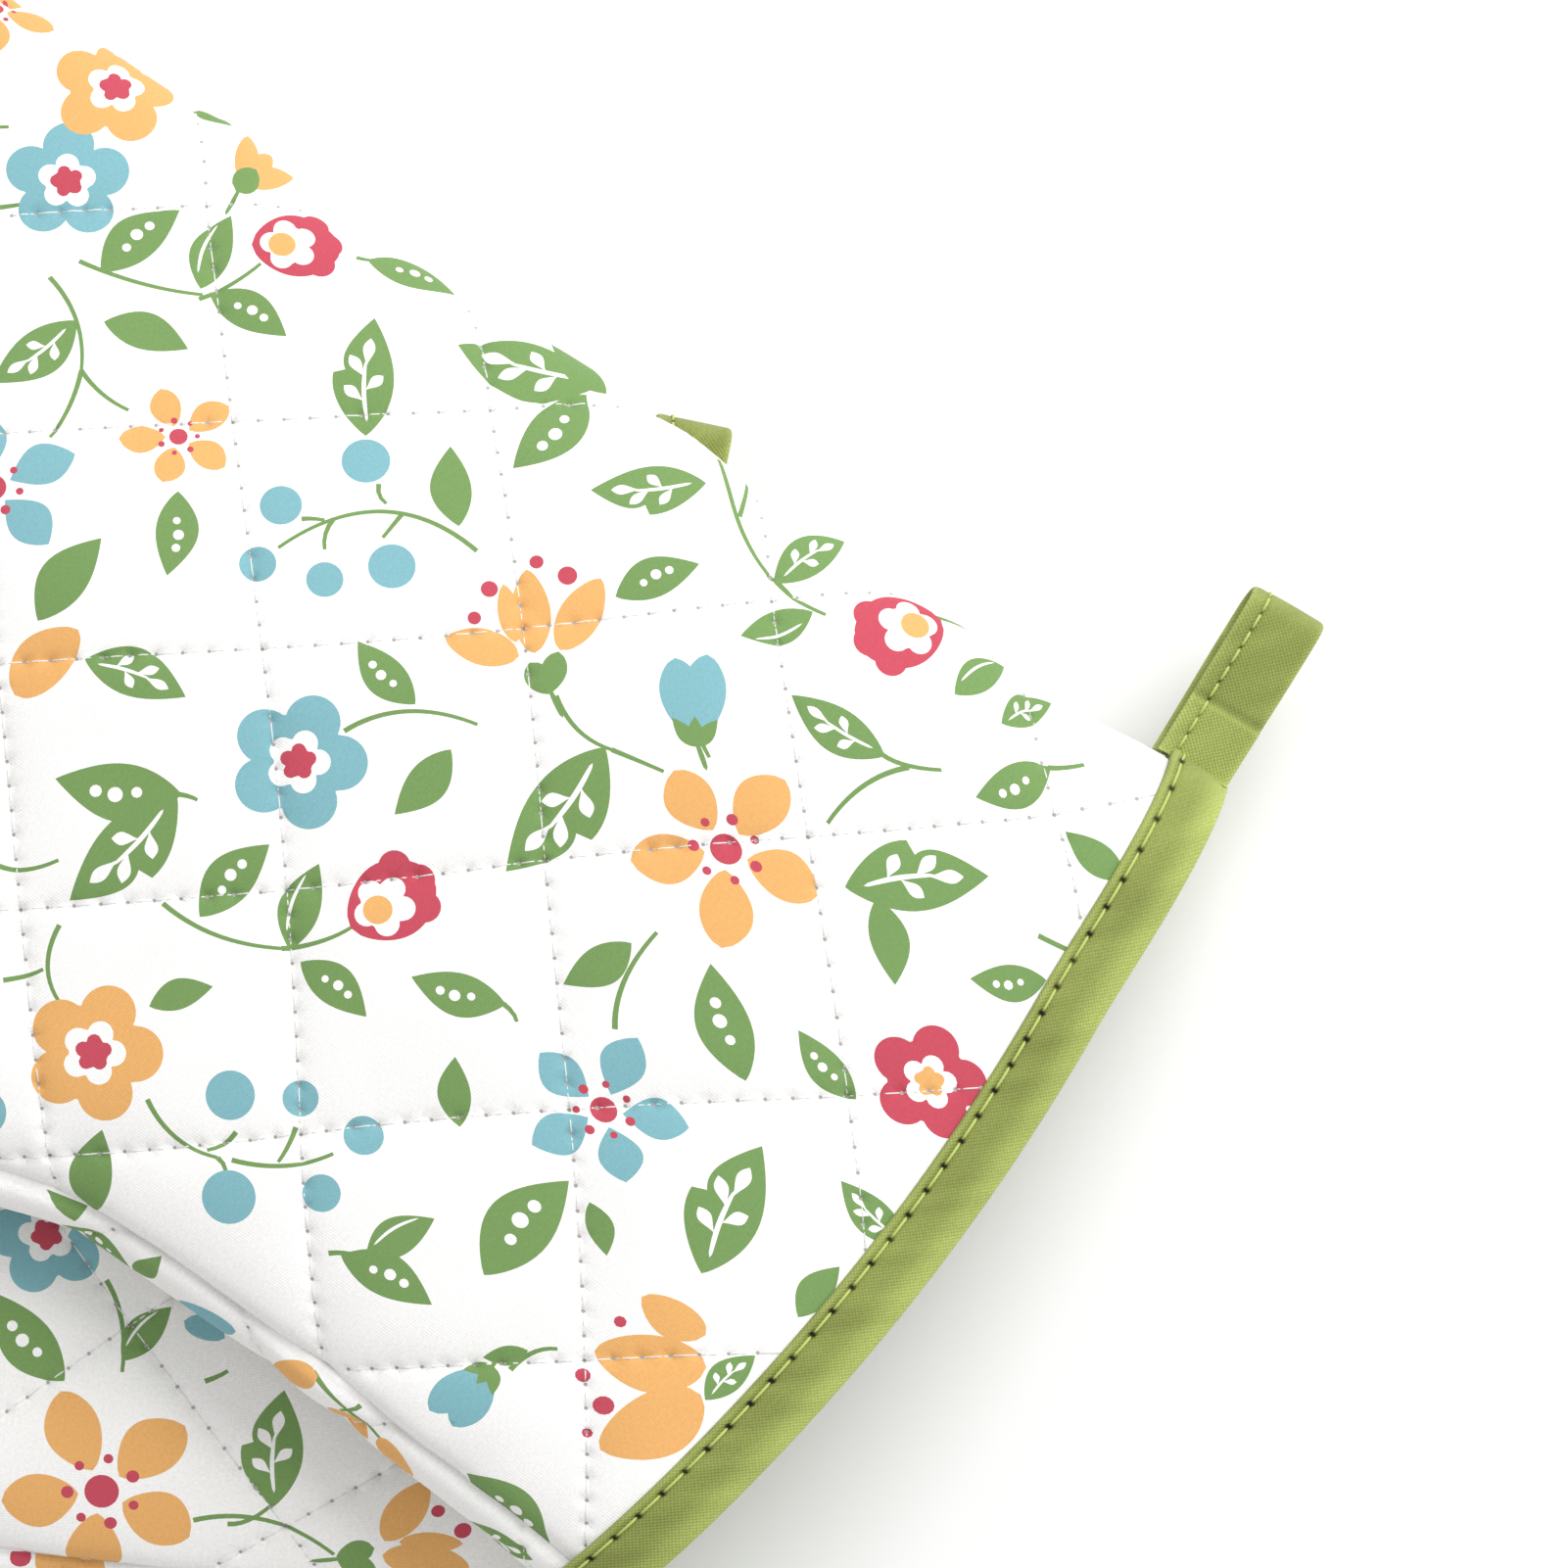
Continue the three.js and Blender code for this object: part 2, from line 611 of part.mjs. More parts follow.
const pair = new THREE.Group();
function add(name, geometry, look) {
  const mesh = new THREE.Mesh(geometry, new THREE.MeshStandardMaterial(look));
  mesh.name = name;
  pair.add(mesh);
}
for (const mitt of mitts) {
  const top = panel(mitt, 1);
  const under = panel(mitt, -1);
  add(`${mitt.name}_top_panel`, top.geometry, printedCotton);
  add(`${mitt.name}_under_panel`, under.geometry, printedCotton);
  add(`${mitt.name}_cuff_binding`, binding(mitt, top, under), greenTape);
  add(`${mitt.name}_hanging_loop`, loop(mitt), greenTape);
}

export default pair;
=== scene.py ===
"""A pair of quilted cotton oven mitts with a printed face and a green cuff binding, lying one on the other.

Sizes are in millimetres until a mesh is made. A mitt is worked out in its own coordinates: u across, with
the thumb on the negative side, and w along, from the cuff's edge to the fingertips. The cloth of a panel
is first laid flat, cut along its print, and then bent round the mitt.
"""

import math
from collections import namedtuple

import bpy
import numpy as np
from mathutils import Matrix, Vector
from mathutils.geometry import delaunay_2d_cdt
from mathutils.kdtree import KDTree


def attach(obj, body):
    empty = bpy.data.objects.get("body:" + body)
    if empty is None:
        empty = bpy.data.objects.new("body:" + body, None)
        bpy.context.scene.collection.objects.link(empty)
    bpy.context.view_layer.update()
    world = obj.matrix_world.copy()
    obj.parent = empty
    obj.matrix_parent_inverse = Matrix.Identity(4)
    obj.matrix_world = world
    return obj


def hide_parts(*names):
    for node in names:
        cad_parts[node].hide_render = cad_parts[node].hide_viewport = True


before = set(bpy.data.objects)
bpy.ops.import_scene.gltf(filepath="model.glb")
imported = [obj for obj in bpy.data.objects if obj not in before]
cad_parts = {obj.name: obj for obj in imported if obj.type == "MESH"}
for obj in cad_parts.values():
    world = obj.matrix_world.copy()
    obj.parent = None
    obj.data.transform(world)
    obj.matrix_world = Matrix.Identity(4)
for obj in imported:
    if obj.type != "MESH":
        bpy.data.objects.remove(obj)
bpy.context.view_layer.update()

MM = 0.001

# The mitt, as in the part's source
CUFF_WIDTH = 160
CUFF_BOW = 9
CUFF_LIP = 2
HALF_CUFF = 11
HALF_BODY = 12.5
CROWN = 2.5
SHOULDER = 26
WALL_CUFF = 2.8
WALL_BODY = 4
PRESS = 0.8
GAP = 0.5
FAN = 29.5
LOWER_SHIFT = np.array([-4.1, 3.8])
FULL_BODY = 80
FULL_WALL = 30
FULL_QUILT = 26
PRESSED = (30, 50)
CROWNED = (15, 70)
QUILT = 39
QUILT_TURN = math.radians(48.4)
BINDING_WIDTH = 10
BINDING_SHEET = 1
BOUND = BINDING_WIDTH + 1.5
LOOP_WIDTH = 12
LOOP_RISE = 3.7
LOOP_TURN = 3
LOOP_SHEET = 1.2
LOOP_LAP = 11
LOOP_LAP_SHEET = 0.7
LOOP_SKEW = 0.5
OUTLINE = (  # across, along
    (-80, 0), (-79, 50), (-80, 100), (-94, 142), (-107, 182), (-104, 211), (-87, 225),
    (-68, 215), (-57, 193), (-48, 181), (-43, 197), (-46, 240), (-35, 282), (-8, 307),
    (22, 311), (55, 292), (74, 250), (80, 190), (80, 100), (80, 0),
)
SEAT_CUFF = 26.2
SEAT_BODY = 27.5
SEAT_RISES = (0, 80)
FALLS_ACROSS = (56, 164)
FALLS_BEHIND = (-115, -4)
CORNER = np.array([-65.56, -140.32])
SEAM_ROLL = math.radians(32)
ROLL_FADES = (190, 330)

HALF_WIDTH = CUFF_WIDTH / 2
CUFF_EDGE = 0.6
SPREAD = 3.4  # how far the upper mitt's far side has spread out on the table
DENT_AT = 160  # where it lies drawn in again
DENT_WIDTH = 18
CORNER_OUT = 1.5  # how far its far cuff corner is pulled out sideways
CORNER_BACK = 2.1  # and backwards
SPREAD_ACROSS = (60, 84)
SPREAD_ENDS = (210, 280)
CORNER_ACROSS = (40, 78)
CORNER_ALONG = (8, 26)
STAND = GAP + BINDING_SHEET


# How a mitt is turned, shifted, held up and pressed, where its stitch lines start, and how far its loop
# reaches and leans
Mitt = namedtuple("Mitt", "name turn shift seated press phase loop_reach loop_lean")
LOWER = Mitt("lower_mitt", math.radians(FAN / 2), LOWER_SHIFT, False, PRESS, (21.6, 1.2), 37.5,
             math.radians(-6))
UPPER = Mitt("upper_mitt", math.radians(-FAN / 2), np.zeros(2), True, 0, (18.4, 12.1), 35 - SPREAD,
             math.radians(4))


def smooth(x, low, high):
    t = np.clip((x - low) / (high - low), 0, 1)
    return t * t * (3 - 2 * t)


def mix(a, b, t):
    return a + (b - a) * t


def hump(x, at, width):
    return np.exp(-((x - at) / width) ** 2)


def half_thickness(w):
    return mix(HALF_CUFF, HALF_BODY, smooth(w, BOUND, FULL_BODY))


def wall_thickness(w):
    return mix(WALL_CUFF, WALL_BODY, smooth(w, BOUND, FULL_WALL))


def lying_middle(w):
    return half_thickness(w) + STAND * (1 - smooth(w, BOUND, FULL_WALL))


def unit(v):
    return v / np.linalg.norm(v, axis=-1, keepdims=True)


def left_of(ahead):
    return np.column_stack([-ahead[:, 1], ahead[:, 0]])


def run_of(line):
    """How far along a line each of its points comes."""
    return np.concatenate([[0], np.cumsum(np.linalg.norm(np.diff(line, axis=0), axis=1))])


def tree_of(points):
    """A search tree of flat points."""
    tree = KDTree(len(points))
    for n, (x, y) in enumerate(points.tolist()):
        tree.insert((x, y, 0), n)
    tree.balance()
    return tree


# The seam's outline

def spline(points, steps):
    """A curve through the points, with a number of steps between each two."""
    points = np.array(points, float)
    last = len(points) - 1
    t = np.linspace(0, 1, steps, endpoint=False)[:, None]
    runs = []
    for i in range(last):
        before, p, q, after = (points[min(max(k, 0), last)] for k in (i - 1, i, i + 1, i + 2))
        v, x = (q - before) / 2, (after - p) / 2
        runs.append((2 * p - 2 * q + v + x) * t**3 + (3 * q - 3 * p - 2 * v - x) * t**2 + v * t + p)
    return np.vstack([*runs, points[-1:]])


def resampled(line, step):
    """The same line with evenly spaced points."""
    sums = run_of(line)
    at = np.linspace(0, sums[-1], int(round(sums[-1] / step)) + 1)
    return np.column_stack([np.interp(at, sums, line[:, k]) for k in range(line.shape[1])])


SEAM_STEP = 1.2
seam = resampled(spline(OUTLINE, 60), SEAM_STEP)
seam_reach = np.linspace(0, SEAM_STEP * (len(seam) - 1), len(seam))
tangent = np.gradient(seam, axis=0)
tangent[:2] = (0, 1)
tangent[-2:] = (0, -1)
tangent = unit(tangent)
inward = -left_of(tangent)
turning = np.gradient(np.unwrap(np.arctan2(tangent[:, 1], tangent[:, 0]))) / SEAM_STEP
seam_roll = SEAM_ROLL * (1 - smooth(seam_reach, *ROLL_FADES))

# Arc of the rounded side, from its top (0) down past the widest place (a right angle)
fall = np.linspace(0, math.radians(135), 400)
fall_arc = np.concatenate([[0], np.cumsum(np.hypot(
    np.diff(SHOULDER * np.sin(fall)), np.diff(HALF_BODY * np.cos(fall))))])
QUARTER = math.pi / 2


class Pattern:
    """A panel's flat cloth: sign 1 is the top panel and -1 the under one. It reaches over the rounded side
    as far as the seam, which is rolled up on the thumb's side."""

    def __init__(self, sign):
        self.sign = sign
        self.end_fall = QUARTER - sign * seam_roll
        self.end_arc = np.interp(self.end_fall, fall, fall_arc)
        edge = SHOULDER - self.end_arc
        # The cloth's edge is drawn in where the outline is hollow, so that it doesn't cross itself
        hollow = np.where(turning > 1e-3, 1 / np.maximum(turning, 1e-3), np.inf)
        widest = np.array([hollow[max(0, i - 6): i + 7].min() for i in range(len(seam))])
        self.edge = np.maximum(edge, -0.7 * widest)
        self.border = seam + inward * self.edge[:, None]

    def fall_of(self, distance, place):
        """How far round the rounded side a point at a distance inside the outline comes."""
        edge = np.interp(place, seam_reach, self.edge)
        end = np.interp(place, seam_reach, self.end_arc)
        outside = SHOULDER + (end - SHOULDER) * np.clip(distance / np.minimum(edge, -1e-6), 0, 1)
        arc = np.where(distance < 0, outside, SHOULDER - distance)
        return np.interp(np.clip(arc, 0, end), fall_arc, fall), np.clip(end - arc, 0, None)


seam_tree = tree_of(seam)


def nearest(q):
    """Signed distance inside the outline, reach along it and direction into the mitt, of flat points."""
    at = np.array([seam_tree.find((x, y, 0))[1] for x, y in q.tolist()], int)
    found = None
    for first in (np.clip(at - 1, 0, len(seam) - 2), np.clip(at, 0, len(seam) - 2)):
        a, ab = seam[first], seam[first + 1] - seam[first]
        t = np.clip(((q - a) * ab).sum(1) / (ab**2).sum(1), 0, 1)
        gap = q - a - t[:, None] * ab
        tried = np.column_stack([np.hypot(*gap.T), first, t, gap])
        found = tried if found is None else np.where(tried[:, :1] < found[:, :1], tried, found)
    far, first, t, gap = found[:, 0], found[:, 1].astype(int), found[:, 2], found[:, 3:]
    n = inward[first] * (1 - t[:, None]) + inward[first + 1] * t[:, None]
    side = np.where((gap * n).sum(1) < 0, -1.0, 1.0)
    straight = gap * side[:, None] / np.maximum(far, 1e-9)[:, None]
    share = smooth(far, 0.5, 2)[:, None]
    n = n * (1 - share) + straight * share
    place = seam_reach[first] * (1 - t) + seam_reach[first + 1] * t
    return far * side, place, unit(n)


def seat(x, y):
    """Height at which the upper mitt rests, at a place in the pair's frame."""
    dx, dy = x - CORNER[0], y - CORNER[1]
    turn = LOWER.turn
    u = dx * math.cos(turn) + dy * math.sin(turn) - HALF_WIDTH - LOWER_SHIFT[0]
    w = dy * math.cos(turn) - dx * math.sin(turn) - LOWER_SHIFT[1]
    top = mix(SEAT_CUFF, SEAT_BODY, smooth(w, *SEAT_RISES))
    return top * (1 - smooth(u, *FALLS_ACROSS)) * smooth(w, *FALLS_BEHIND)


def placed(mitt, u, w, height):
    """A mitt's (u, w), with a height above its middle, as points of the pair."""
    near = 1 - smooth(w, 0, FULL_BODY)
    bow = np.maximum(CUFF_BOW * (1 - (u / HALF_WIDTH) ** 2) * near, 0)
    lip = CUFF_LIP * height * near / HALF_CUFF
    spread = pulled = 0
    if mitt.seated:
        dent = 1 - 0.9 * hump(w, DENT_AT, DENT_WIDTH)
        corner = smooth(u, *CORNER_ACROSS) * (1 - smooth(w, *CORNER_ALONG))
        side = smooth(u, *SPREAD_ACROSS) * (1 - smooth(w, *SPREAD_ENDS))
        spread = SPREAD * side * dent + CORNER_OUT * corner
        pulled = CORNER_BACK * corner
    du = u + HALF_WIDTH + mitt.shift[0] + spread
    dv = w - bow - lip - pulled + mitt.shift[1]
    x = CORNER[0] + du * math.cos(mitt.turn) - dv * math.sin(mitt.turn)
    y = CORNER[1] + du * math.sin(mitt.turn) + dv * math.cos(mitt.turn)
    lift = seat(x, y) if mitt.seated else 0
    return np.column_stack([x, y, np.maximum(0, lying_middle(w) + lift + height)])


# Quilting

STITCHES = 10  # to a pitch
STITCH = QUILT / STITCHES
# How far the upper mitt's stitch lines wander from straight ones, across and along, for each bend of the
# cloth: even, across, along, across twice, both, along twice
WANDER = np.array([(0.3, -2.4), (0.4, -2.0), (-2.0, -1.7), (-0.7, 1.0), (-1.7, -0.2), (0.5, 4.4)])


def wandered(mitt, q):
    """How far a stitch line has wandered at flat points."""
    if not mitt.seated:
        return 0 * q
    x = np.sin(QUARTER * np.clip(q[:, 0] / 80, -1, 1))
    y = np.sin(QUARTER * np.clip((q[:, 1] - 90) / 90, -1, 1))
    return np.column_stack([np.ones(len(q)), x, y, x * x, x * y, y * y]) @ WANDER


def quilt_places(mitt, q):
    """Flat points in the quilting's own directions, in pitches."""
    q = q - wandered(mitt, q)
    s, c = math.sin(QUILT_TURN), math.cos(QUILT_TURN)
    a = (q[:, 0] * s + q[:, 1] * c - mitt.phase[0]) / QUILT
    b = (-q[:, 0] * c + q[:, 1] * s - mitt.phase[1]) / QUILT
    return a, b


def quilt_points(mitt, a, b):
    """The other way: flat points from pitches."""
    s, c = math.sin(QUILT_TURN), math.cos(QUILT_TURN)
    x, y = a * QUILT + mitt.phase[0], b * QUILT + mitt.phase[1]
    straight = np.column_stack([x * s - y * c, x * c + y * s])
    q = straight
    for _ in range(6):
        q = straight + wandered(mitt, q)
    return q


def off_line(a):
    """Distance in millimetres from the nearest stitch line."""
    return np.abs(a - np.round(a)) * QUILT


def wave_noise(x, y, scale, seed):
    """Smooth noise from -1 to 1 whose lumps are about a scale across."""
    x, y = x / scale, y / scale
    i, j = np.floor(x), np.floor(y)
    fx, fy = smooth(x - i, 0, 1), smooth(y - j, 0, 1)

    def value(i, j):
        h = np.sin(i * 127.1 + j * 311.7 + seed * 74.7) * 43758.5453
        return 2 * (h - np.floor(h)) - 1

    low = mix(value(i, j), value(i + 1, j), fx)
    high = mix(value(i, j + 1), value(i + 1, j + 1), fx)
    return mix(low, high, fy)


QUILT_DEPTH = 1.7
PILLOW_SHOULDER = 4.6
PUCKER = 0.2
LUMPS = 0.28
HOLE_DEPTH = 0.6
HOLE_SPREAD = 0.5
TUG = 0.16  # how much more the cloth is drawn in at a needle hole than between two
SEAM_DIP = 1.5
SEAM_DIP_WIDTH = 1.5
GATHER = 0.42
GATHER_SCALE = 12
GATHER_FADE = 15


def sunk(mitt, q, w, from_edge, place):
    """How deep the outer face of a panel is drawn in by its stitches, at flat points."""
    a, b = quilt_places(mitt, q)
    da, db = off_line(a), off_line(b)
    pillow = (1 - np.exp(-da / PILLOW_SHOULDER)) * (1 - np.exp(-db / PILLOW_SHOULDER))
    begun = smooth(w, BOUND - 1, FULL_QUILT)
    depth = QUILT_DEPTH * (1 - pillow) * begun
    x, y = a * QUILT, b * QUILT
    ripple_a = wave_noise(x * 0.35, y, 4.2, 1) * np.exp(-da / 5)
    ripple_b = wave_noise(x, y * 0.35, 4.2, 2) * np.exp(-db / 5)
    depth += PUCKER * (1 + ripple_a + ripple_b) * begun
    depth += LUMPS * (1 + wave_noise(q[:, 0], q[:, 1], 17, 3)) * begun * pillow
    for across, along in ((da, b), (db, a)):
        tug = 0.5 + 0.5 * np.cos(2 * math.pi * along * STITCHES)
        depth += TUG * tug * hump(across, 0, 1.3) * smooth(w, BINDING_WIDTH, BOUND + 2)
        to_hole = np.abs(along * STITCHES - np.round(along * STITCHES)) * STITCH
        near = (across**2 + to_hole**2) / HOLE_SPREAD**2
        depth += HOLE_DEPTH * np.exp(-near) * (w > BINDING_WIDTH)
    depth += SEAM_DIP * hump(from_edge, 0, SEAM_DIP_WIDTH) * smooth(w, 2, BOUND + 4)
    gathers = wave_noise(place, from_edge * 0.3, GATHER_SCALE, 5)
    gathers += 0.5 * wave_noise(place, from_edge * 0.4, 5.5, 6)
    depth += GATHER * (1 + gathers) * np.exp(-from_edge / GATHER_FADE) * smooth(w, BOUND, FULL_QUILT)
    return depth


def bent(mitt, pattern, q, layer="outer", proud=0.0):
    """Flat points of a panel's outer or inner face, bent round the mitt: points of the pair. Proud lifts
    them off the face."""
    distance, place, direction = nearest(q)
    angle, from_edge = pattern.fall_of(distance, place)
    side = distance < SHOULDER
    plan = np.where(side[:, None], q - direction * distance[:, None], q)
    inset = wall_thickness(plan[:, 1]) if layer == "inner" else 0 * distance
    along_in = SHOULDER - (SHOULDER - inset) * np.sin(np.where(side, angle, 0))
    across = np.where(side[:, None], plan + direction * along_in[:, None], q)
    half = half_thickness(across[:, 1]) - inset
    facing = np.cos(np.where(side, angle, 0))
    height = half * facing
    if pattern.sign > 0:
        height += CROWN * smooth(distance, *CROWNED) * smooth(across[:, 1], BOUND, FULL_BODY)
    elif layer == "outer":
        height += mitt.press * smooth(across[:, 1], *PRESSED) * facing.clip(0, 1)
    if layer == "outer":
        sink = sunk(mitt, q, across[:, 1], from_edge, place) - proud
        out_flat = np.sin(np.where(side, angle, 0)) / SHOULDER
        out_up = facing / HALF_BODY
        size = np.hypot(out_flat, out_up)
        across = across + direction * (out_flat / size * sink)[:, None]
        height = height - out_up / size * sink
    return placed(mitt, across[:, 0], across[:, 1], height * pattern.sign)


# The print

WHITE, GREEN, ORANGE, BLUE, RED, HOLE_SHADE = range(6)
INKS = {  # as they look in the light, 0 to 255
    WHITE: (252, 251, 249), GREEN: (129, 166, 99), ORANGE: (251, 190, 117), BLUE: (140, 196, 206),
    # The last colour is no ink but painted shade, for the needle holes of the quilting
    RED: (212, 84, 102), HOLE_SHADE: (196, 195, 192),
}
LIT = 1.28  # how bright a white sheet lies in this light
COTTON_WHITE = 0.88
LOOP_STEP = 0.7
STEM_WIDTH = 0.75
REPEAT = np.array([171, 178])
TAPE_GREEN = (147, 158, 81)
# The tapes' green, and the lighter green they are mixed towards where a highlight is painted
TAPE_HIGHLIGHT = (190, 205, 112)
TAPE_THREAD = (204, 219, 120)
COTTON_THREAD = (252, 251, 250)
# Copies of the chart, in repeats across and along. A later copy only fills what earlier ones leave bare.
COPIES = ((0, 0), (0, 1), (-1, 0), (0, -1), (1, 0), (-1, 1), (-1, -1), (1, 1), (1, -1), (0, 2), (-1, 2))
HELD_SHARE = 0.92  # of the radii of two motifs, how near they may lie
LEAF_HOLDS = 0.45  # how far round its middle a motif holds its place, to its length
FLOWER_HOLDS = 0.6
STEM_HOLDS = 0.6
BARE = {  # spots that stay plain: across, along, radius
    "upper_mitt_top": ((82, 8, 14), (84, 60, 5), (76, 4, 8), (-70, 8, 12), (94, 126, 12), (88, 146, 14)),
}

LEAVES = (  # kind, base, tip
    ("dotted", 48, 188, 64, 185), ("slit", 55, 174, 68, 178), ("dotted", 55, 172, 56, 158),
    ("plain", 41, 182, 45, 169), ("veined", 38, 186, 22, 190), ("notched", 50, 138, 67, 149),
    ("veined", 79, 115, 71, 136), ("dotted", 76, 115, 59, 116), ("plain", -5, 160, 11, 160),
    ("dotted", 24, 155, 12, 148), ("plain", 46, 117, 56, 126), ("notched", 74, 91, 63, 104),
    ("dotted", 51, 90, 63, 83), ("veined", -6, 150, -2, 134), ("dotted", 18, 105, 21, 118),
    ("plain", 15, 96, 2, 97), ("dotted", -15, 126, -24, 143), ("notched", -16, 126, -38, 130),
    ("plain", -44, 110, -36, 104), ("dotted", -28, 112, -13, 110), ("slit", -24, 98, -11, 102),
    ("dotted", -25, 95, -26, 82), ("dotted", -12, 67, -17, 80), ("plain", -31, 62, -23, 68),
    ("plain", 7, 58, -4, 62), ("plain", -77, 99, -64, 105), ("notched", 29, 77, 5, 78),
    ("plain", -29, 42, -34, 36), ("slit", 67, 65, 57, 71), ("veined", 55, 45, 54, 60),
    ("dotted", 70, 24, 59, 31), ("plain", 62, 8, 63, 18), ("notched", 35, 39, 50, 24),
    ("plain", 36, 35, 27, 27), ("dotted", 42, 10, 35, 19), ("dotted", 1, 36, 12, 48),
    ("dotted", 9, 23, 12, 34), ("notched", -27, 25, -6, 29), ("veined", -5, 6, -3, 18),
    ("plain", -24, 11, -14, 11), ("veined", -43, 13, -33, 12), ("dotted", -47, 47, -28, 46),
    ("plain", -53, 36, -58, 40), ("slit", -56, 61, -45, 57), ("dotted", -58, 64, -56, 50),
    ("dotted", -75, 30, -78, 13), ("notched", -82, 91, -82, 104), ("plain", 81, 195, 82, 188),
    ("dotted", 76, 156, 80, 142), ("plain", 79, 113, 82, 125), ("veined", 68, 72, 81, 68),
    ("slit", 70, 41, 80, 37), ("veined", 71, 33, 80, 28), ("notched", -58, 163, -75, 169),
    ("dotted", -44, 179, -57, 185), ("veined", -31, 179, -17, 187), ("plain", -17, 166, -12, 176),
    ("slit", -66, 137, -70, 147), ("plain", -44, 152, -50, 161), ("plain", -97, 148, -101, 157),
)
FLOWERS = (  # kind, ink, base or centre, tip
    ("round", BLUE, 57, 202, 65, 196), ("tulip", RED, 66, 172, 75, 161), ("star", ORANGE, 32, 161, 41, 158),
    ("star", BLUE, 8, 179, 20, 172), ("blossom", ORANGE, 31, 89, 46, 103), ("bud", ORANGE, -17, 156, -3, 154),
    ("round", BLUE, 0, 114, 6, 105), ("round", ORANGE, -55, 113, -49, 104), ("tulip", RED, -16, 92, -2, 87),
    ("star", BLUE, -16, 48, -4, 50), ("tulip", RED, 79, 49, 67, 57), ("heart", BLUE, 39, 67, 50, 75),
    ("star", ORANGE, 28, 55, 15, 48), ("round", RED, 18, 16, 26, 19), ("bud", ORANGE, -35, 19, -36, 29),
    ("bud", ORANGE, -39, 16, -47, 29), ("bud", ORANGE, -43, 14, -59, 19), ("heart", BLUE, -59, 38, -70, 39),
    ("star", ORANGE, 75, 230, 77, 220), ("round", ORANGE, 74, 206, 81, 199),
    ("cup", ORANGE, 73, 180, 83, 180), ("round", BLUE, -77, 126, -70, 119),
    ("tulip", RED, -53, 142, -63, 153), ("star", ORANGE, -33, 162, -23, 167),
    ("star", BLUE, -92, 170, -83, 176), ("round", RED, -71, 186, -64, 190),
)
BERRIES = (  # ink, centre, radius
    (BLUE, 46, 135, 3.8), (BLUE, 32, 141, 3.3), (BLUE, 22, 138, 2.9), (BLUE, 26, 128, 2.9),
    (BLUE, 34, 121, 3.7), (BLUE, -48, 92, 3.8), (BLUE, -42, 83, 2.8), (BLUE, -41, 72, 3),
    (BLUE, -52, 72, 2.9), (BLUE, -61, 83, 4.2), (RED, -41, 29, 0.9), (RED, -51, 28, 1.1), (RED, -53, 23, 1.5),
    (RED, -58, 22, 0.8), (BLUE, -84, 141, 3.6), (BLUE, -92, 137, 2.9), (BLUE, -79, 150, 3),
    (BLUE, -86, 156, 3.3),
)
STEMS = (  # start, what it bends towards, end
    (47, 208, 48, 207, 50, 205), (47, 192, 49, 181, 54, 173), (53, 173, 58, 170, 64, 169),
    (75, 158, 76, 156, 77, 155), (42, 194, 40, 185, 32, 180), (32, 180, 26, 177, 20, 177),
    (32, 180, 30, 175, 31, 170), (44, 112, 46, 131, 26, 137), (44, 131, 42, 130, 42, 128),
    (32, 137, 33, 136, 34, 134), (35, 133, 32, 133, 30, 131), (42, 125, 40, 125, 37, 125),
    (32, 88, 28, 82, 30, 76), (30, 76, 31, 72, 32, 68), (8, 111, 18, 107, 21, 95),
    (-15, 126, -14, 124, -14, 123), (-40, 142, -39, 138, -34, 135), (-42, 129, -50, 128, -52, 121),
    (-54, 131, -51, 128, -49, 127), (-30, 118, -31, 108, -25, 99), (-25, 99, -21, 94, -16, 92),
    (-12, 67, -12, 65, -13, 64), (-5, 53, 1, 57, 11, 56), (-56, 102, -60, 95, -57, 88),
    (-56, 86, -53, 78, -46, 74), (-52, 88, -55, 88, -57, 90), (-57, 88, -57, 86, -59, 85),
    (-46, 81, -49, 80, -52, 80), (68, 72, 67, 68, 68, 63), (81, 92, 69, 82, 68, 72), (73, 83, 78, 85, 81, 86),
    (79, 50, 81, 47, 83, 44), (40, 67, 39, 66, 38, 64), (55, 45, 55, 42, 59, 37), (56, 41, 50, 46, 41, 46),
    (-90, 146, -85, 149, -76, 158), (-84, 144, -84, 146, -85, 148), (70, 24, 71, 22, 73, 20),
    (-57, 36, -52, 36, -50, 33), (-59, 66, -57, 64, -56, 61),
)
# What shows of the lower mitt's top panel and of the upper mitt's under one has places of its own
OWN = {
    "lower_mitt_top": (
        (("dotted", -46, 83, -34, 95), ("slit", -42, 74, -33, 68), ("notched", -62, 50, -44, 51)),
        (("star", ORANGE, -63, 75, -48, 83), ("blossom", ORANGE, -69, 40, -69, 21),
         ("round", BLUE, -24, 88, -29, 80), ("bud", BLUE, -35, 66, -37, 60)),
        (),
        ((-30, 78, -35, 74, -44, 74), (-66, 61, -62, 51, -69, 40), (-66, 56, -66, 53, -62, 50))),
    "upper_mitt_under": (
        (("dotted", -84, 90, -87, 101), ("plain", -84, 89, -91, 86), ("veined", -84, 25, -89, 14)),
        (("bud", ORANGE, -91, 57, -84, 63), ("bud", ORANGE, -85, 45, -86, 53),
         ("bud", ORANGE, -88, 44, -85, 36), ("bud", BLUE, -83, 81, -87, 71)),
        (),
        ((-91, 58, -90, 54, -89, 50), (-91, 49, -90, 49, -88, 51), (-89, 50, -88, 47, -88, 43))),
}
ORIGINS = {  # of the chart on each panel's flat cloth
    "upper_mitt_top": (0, 0), "upper_mitt_under": (74, 41), "lower_mitt_top": (52, -96),
    "lower_mitt_under": (-38, 63),
}


def polar(radius, angle):
    return np.column_stack([radius * np.cos(angle), radius * np.sin(angle)])


def disc(x, y, radius, step):
    angle = np.linspace(0, 2 * math.pi, max(8, round(2 * math.pi * radius / step)), endpoint=False)
    return (x, y) + polar(radius, angle)


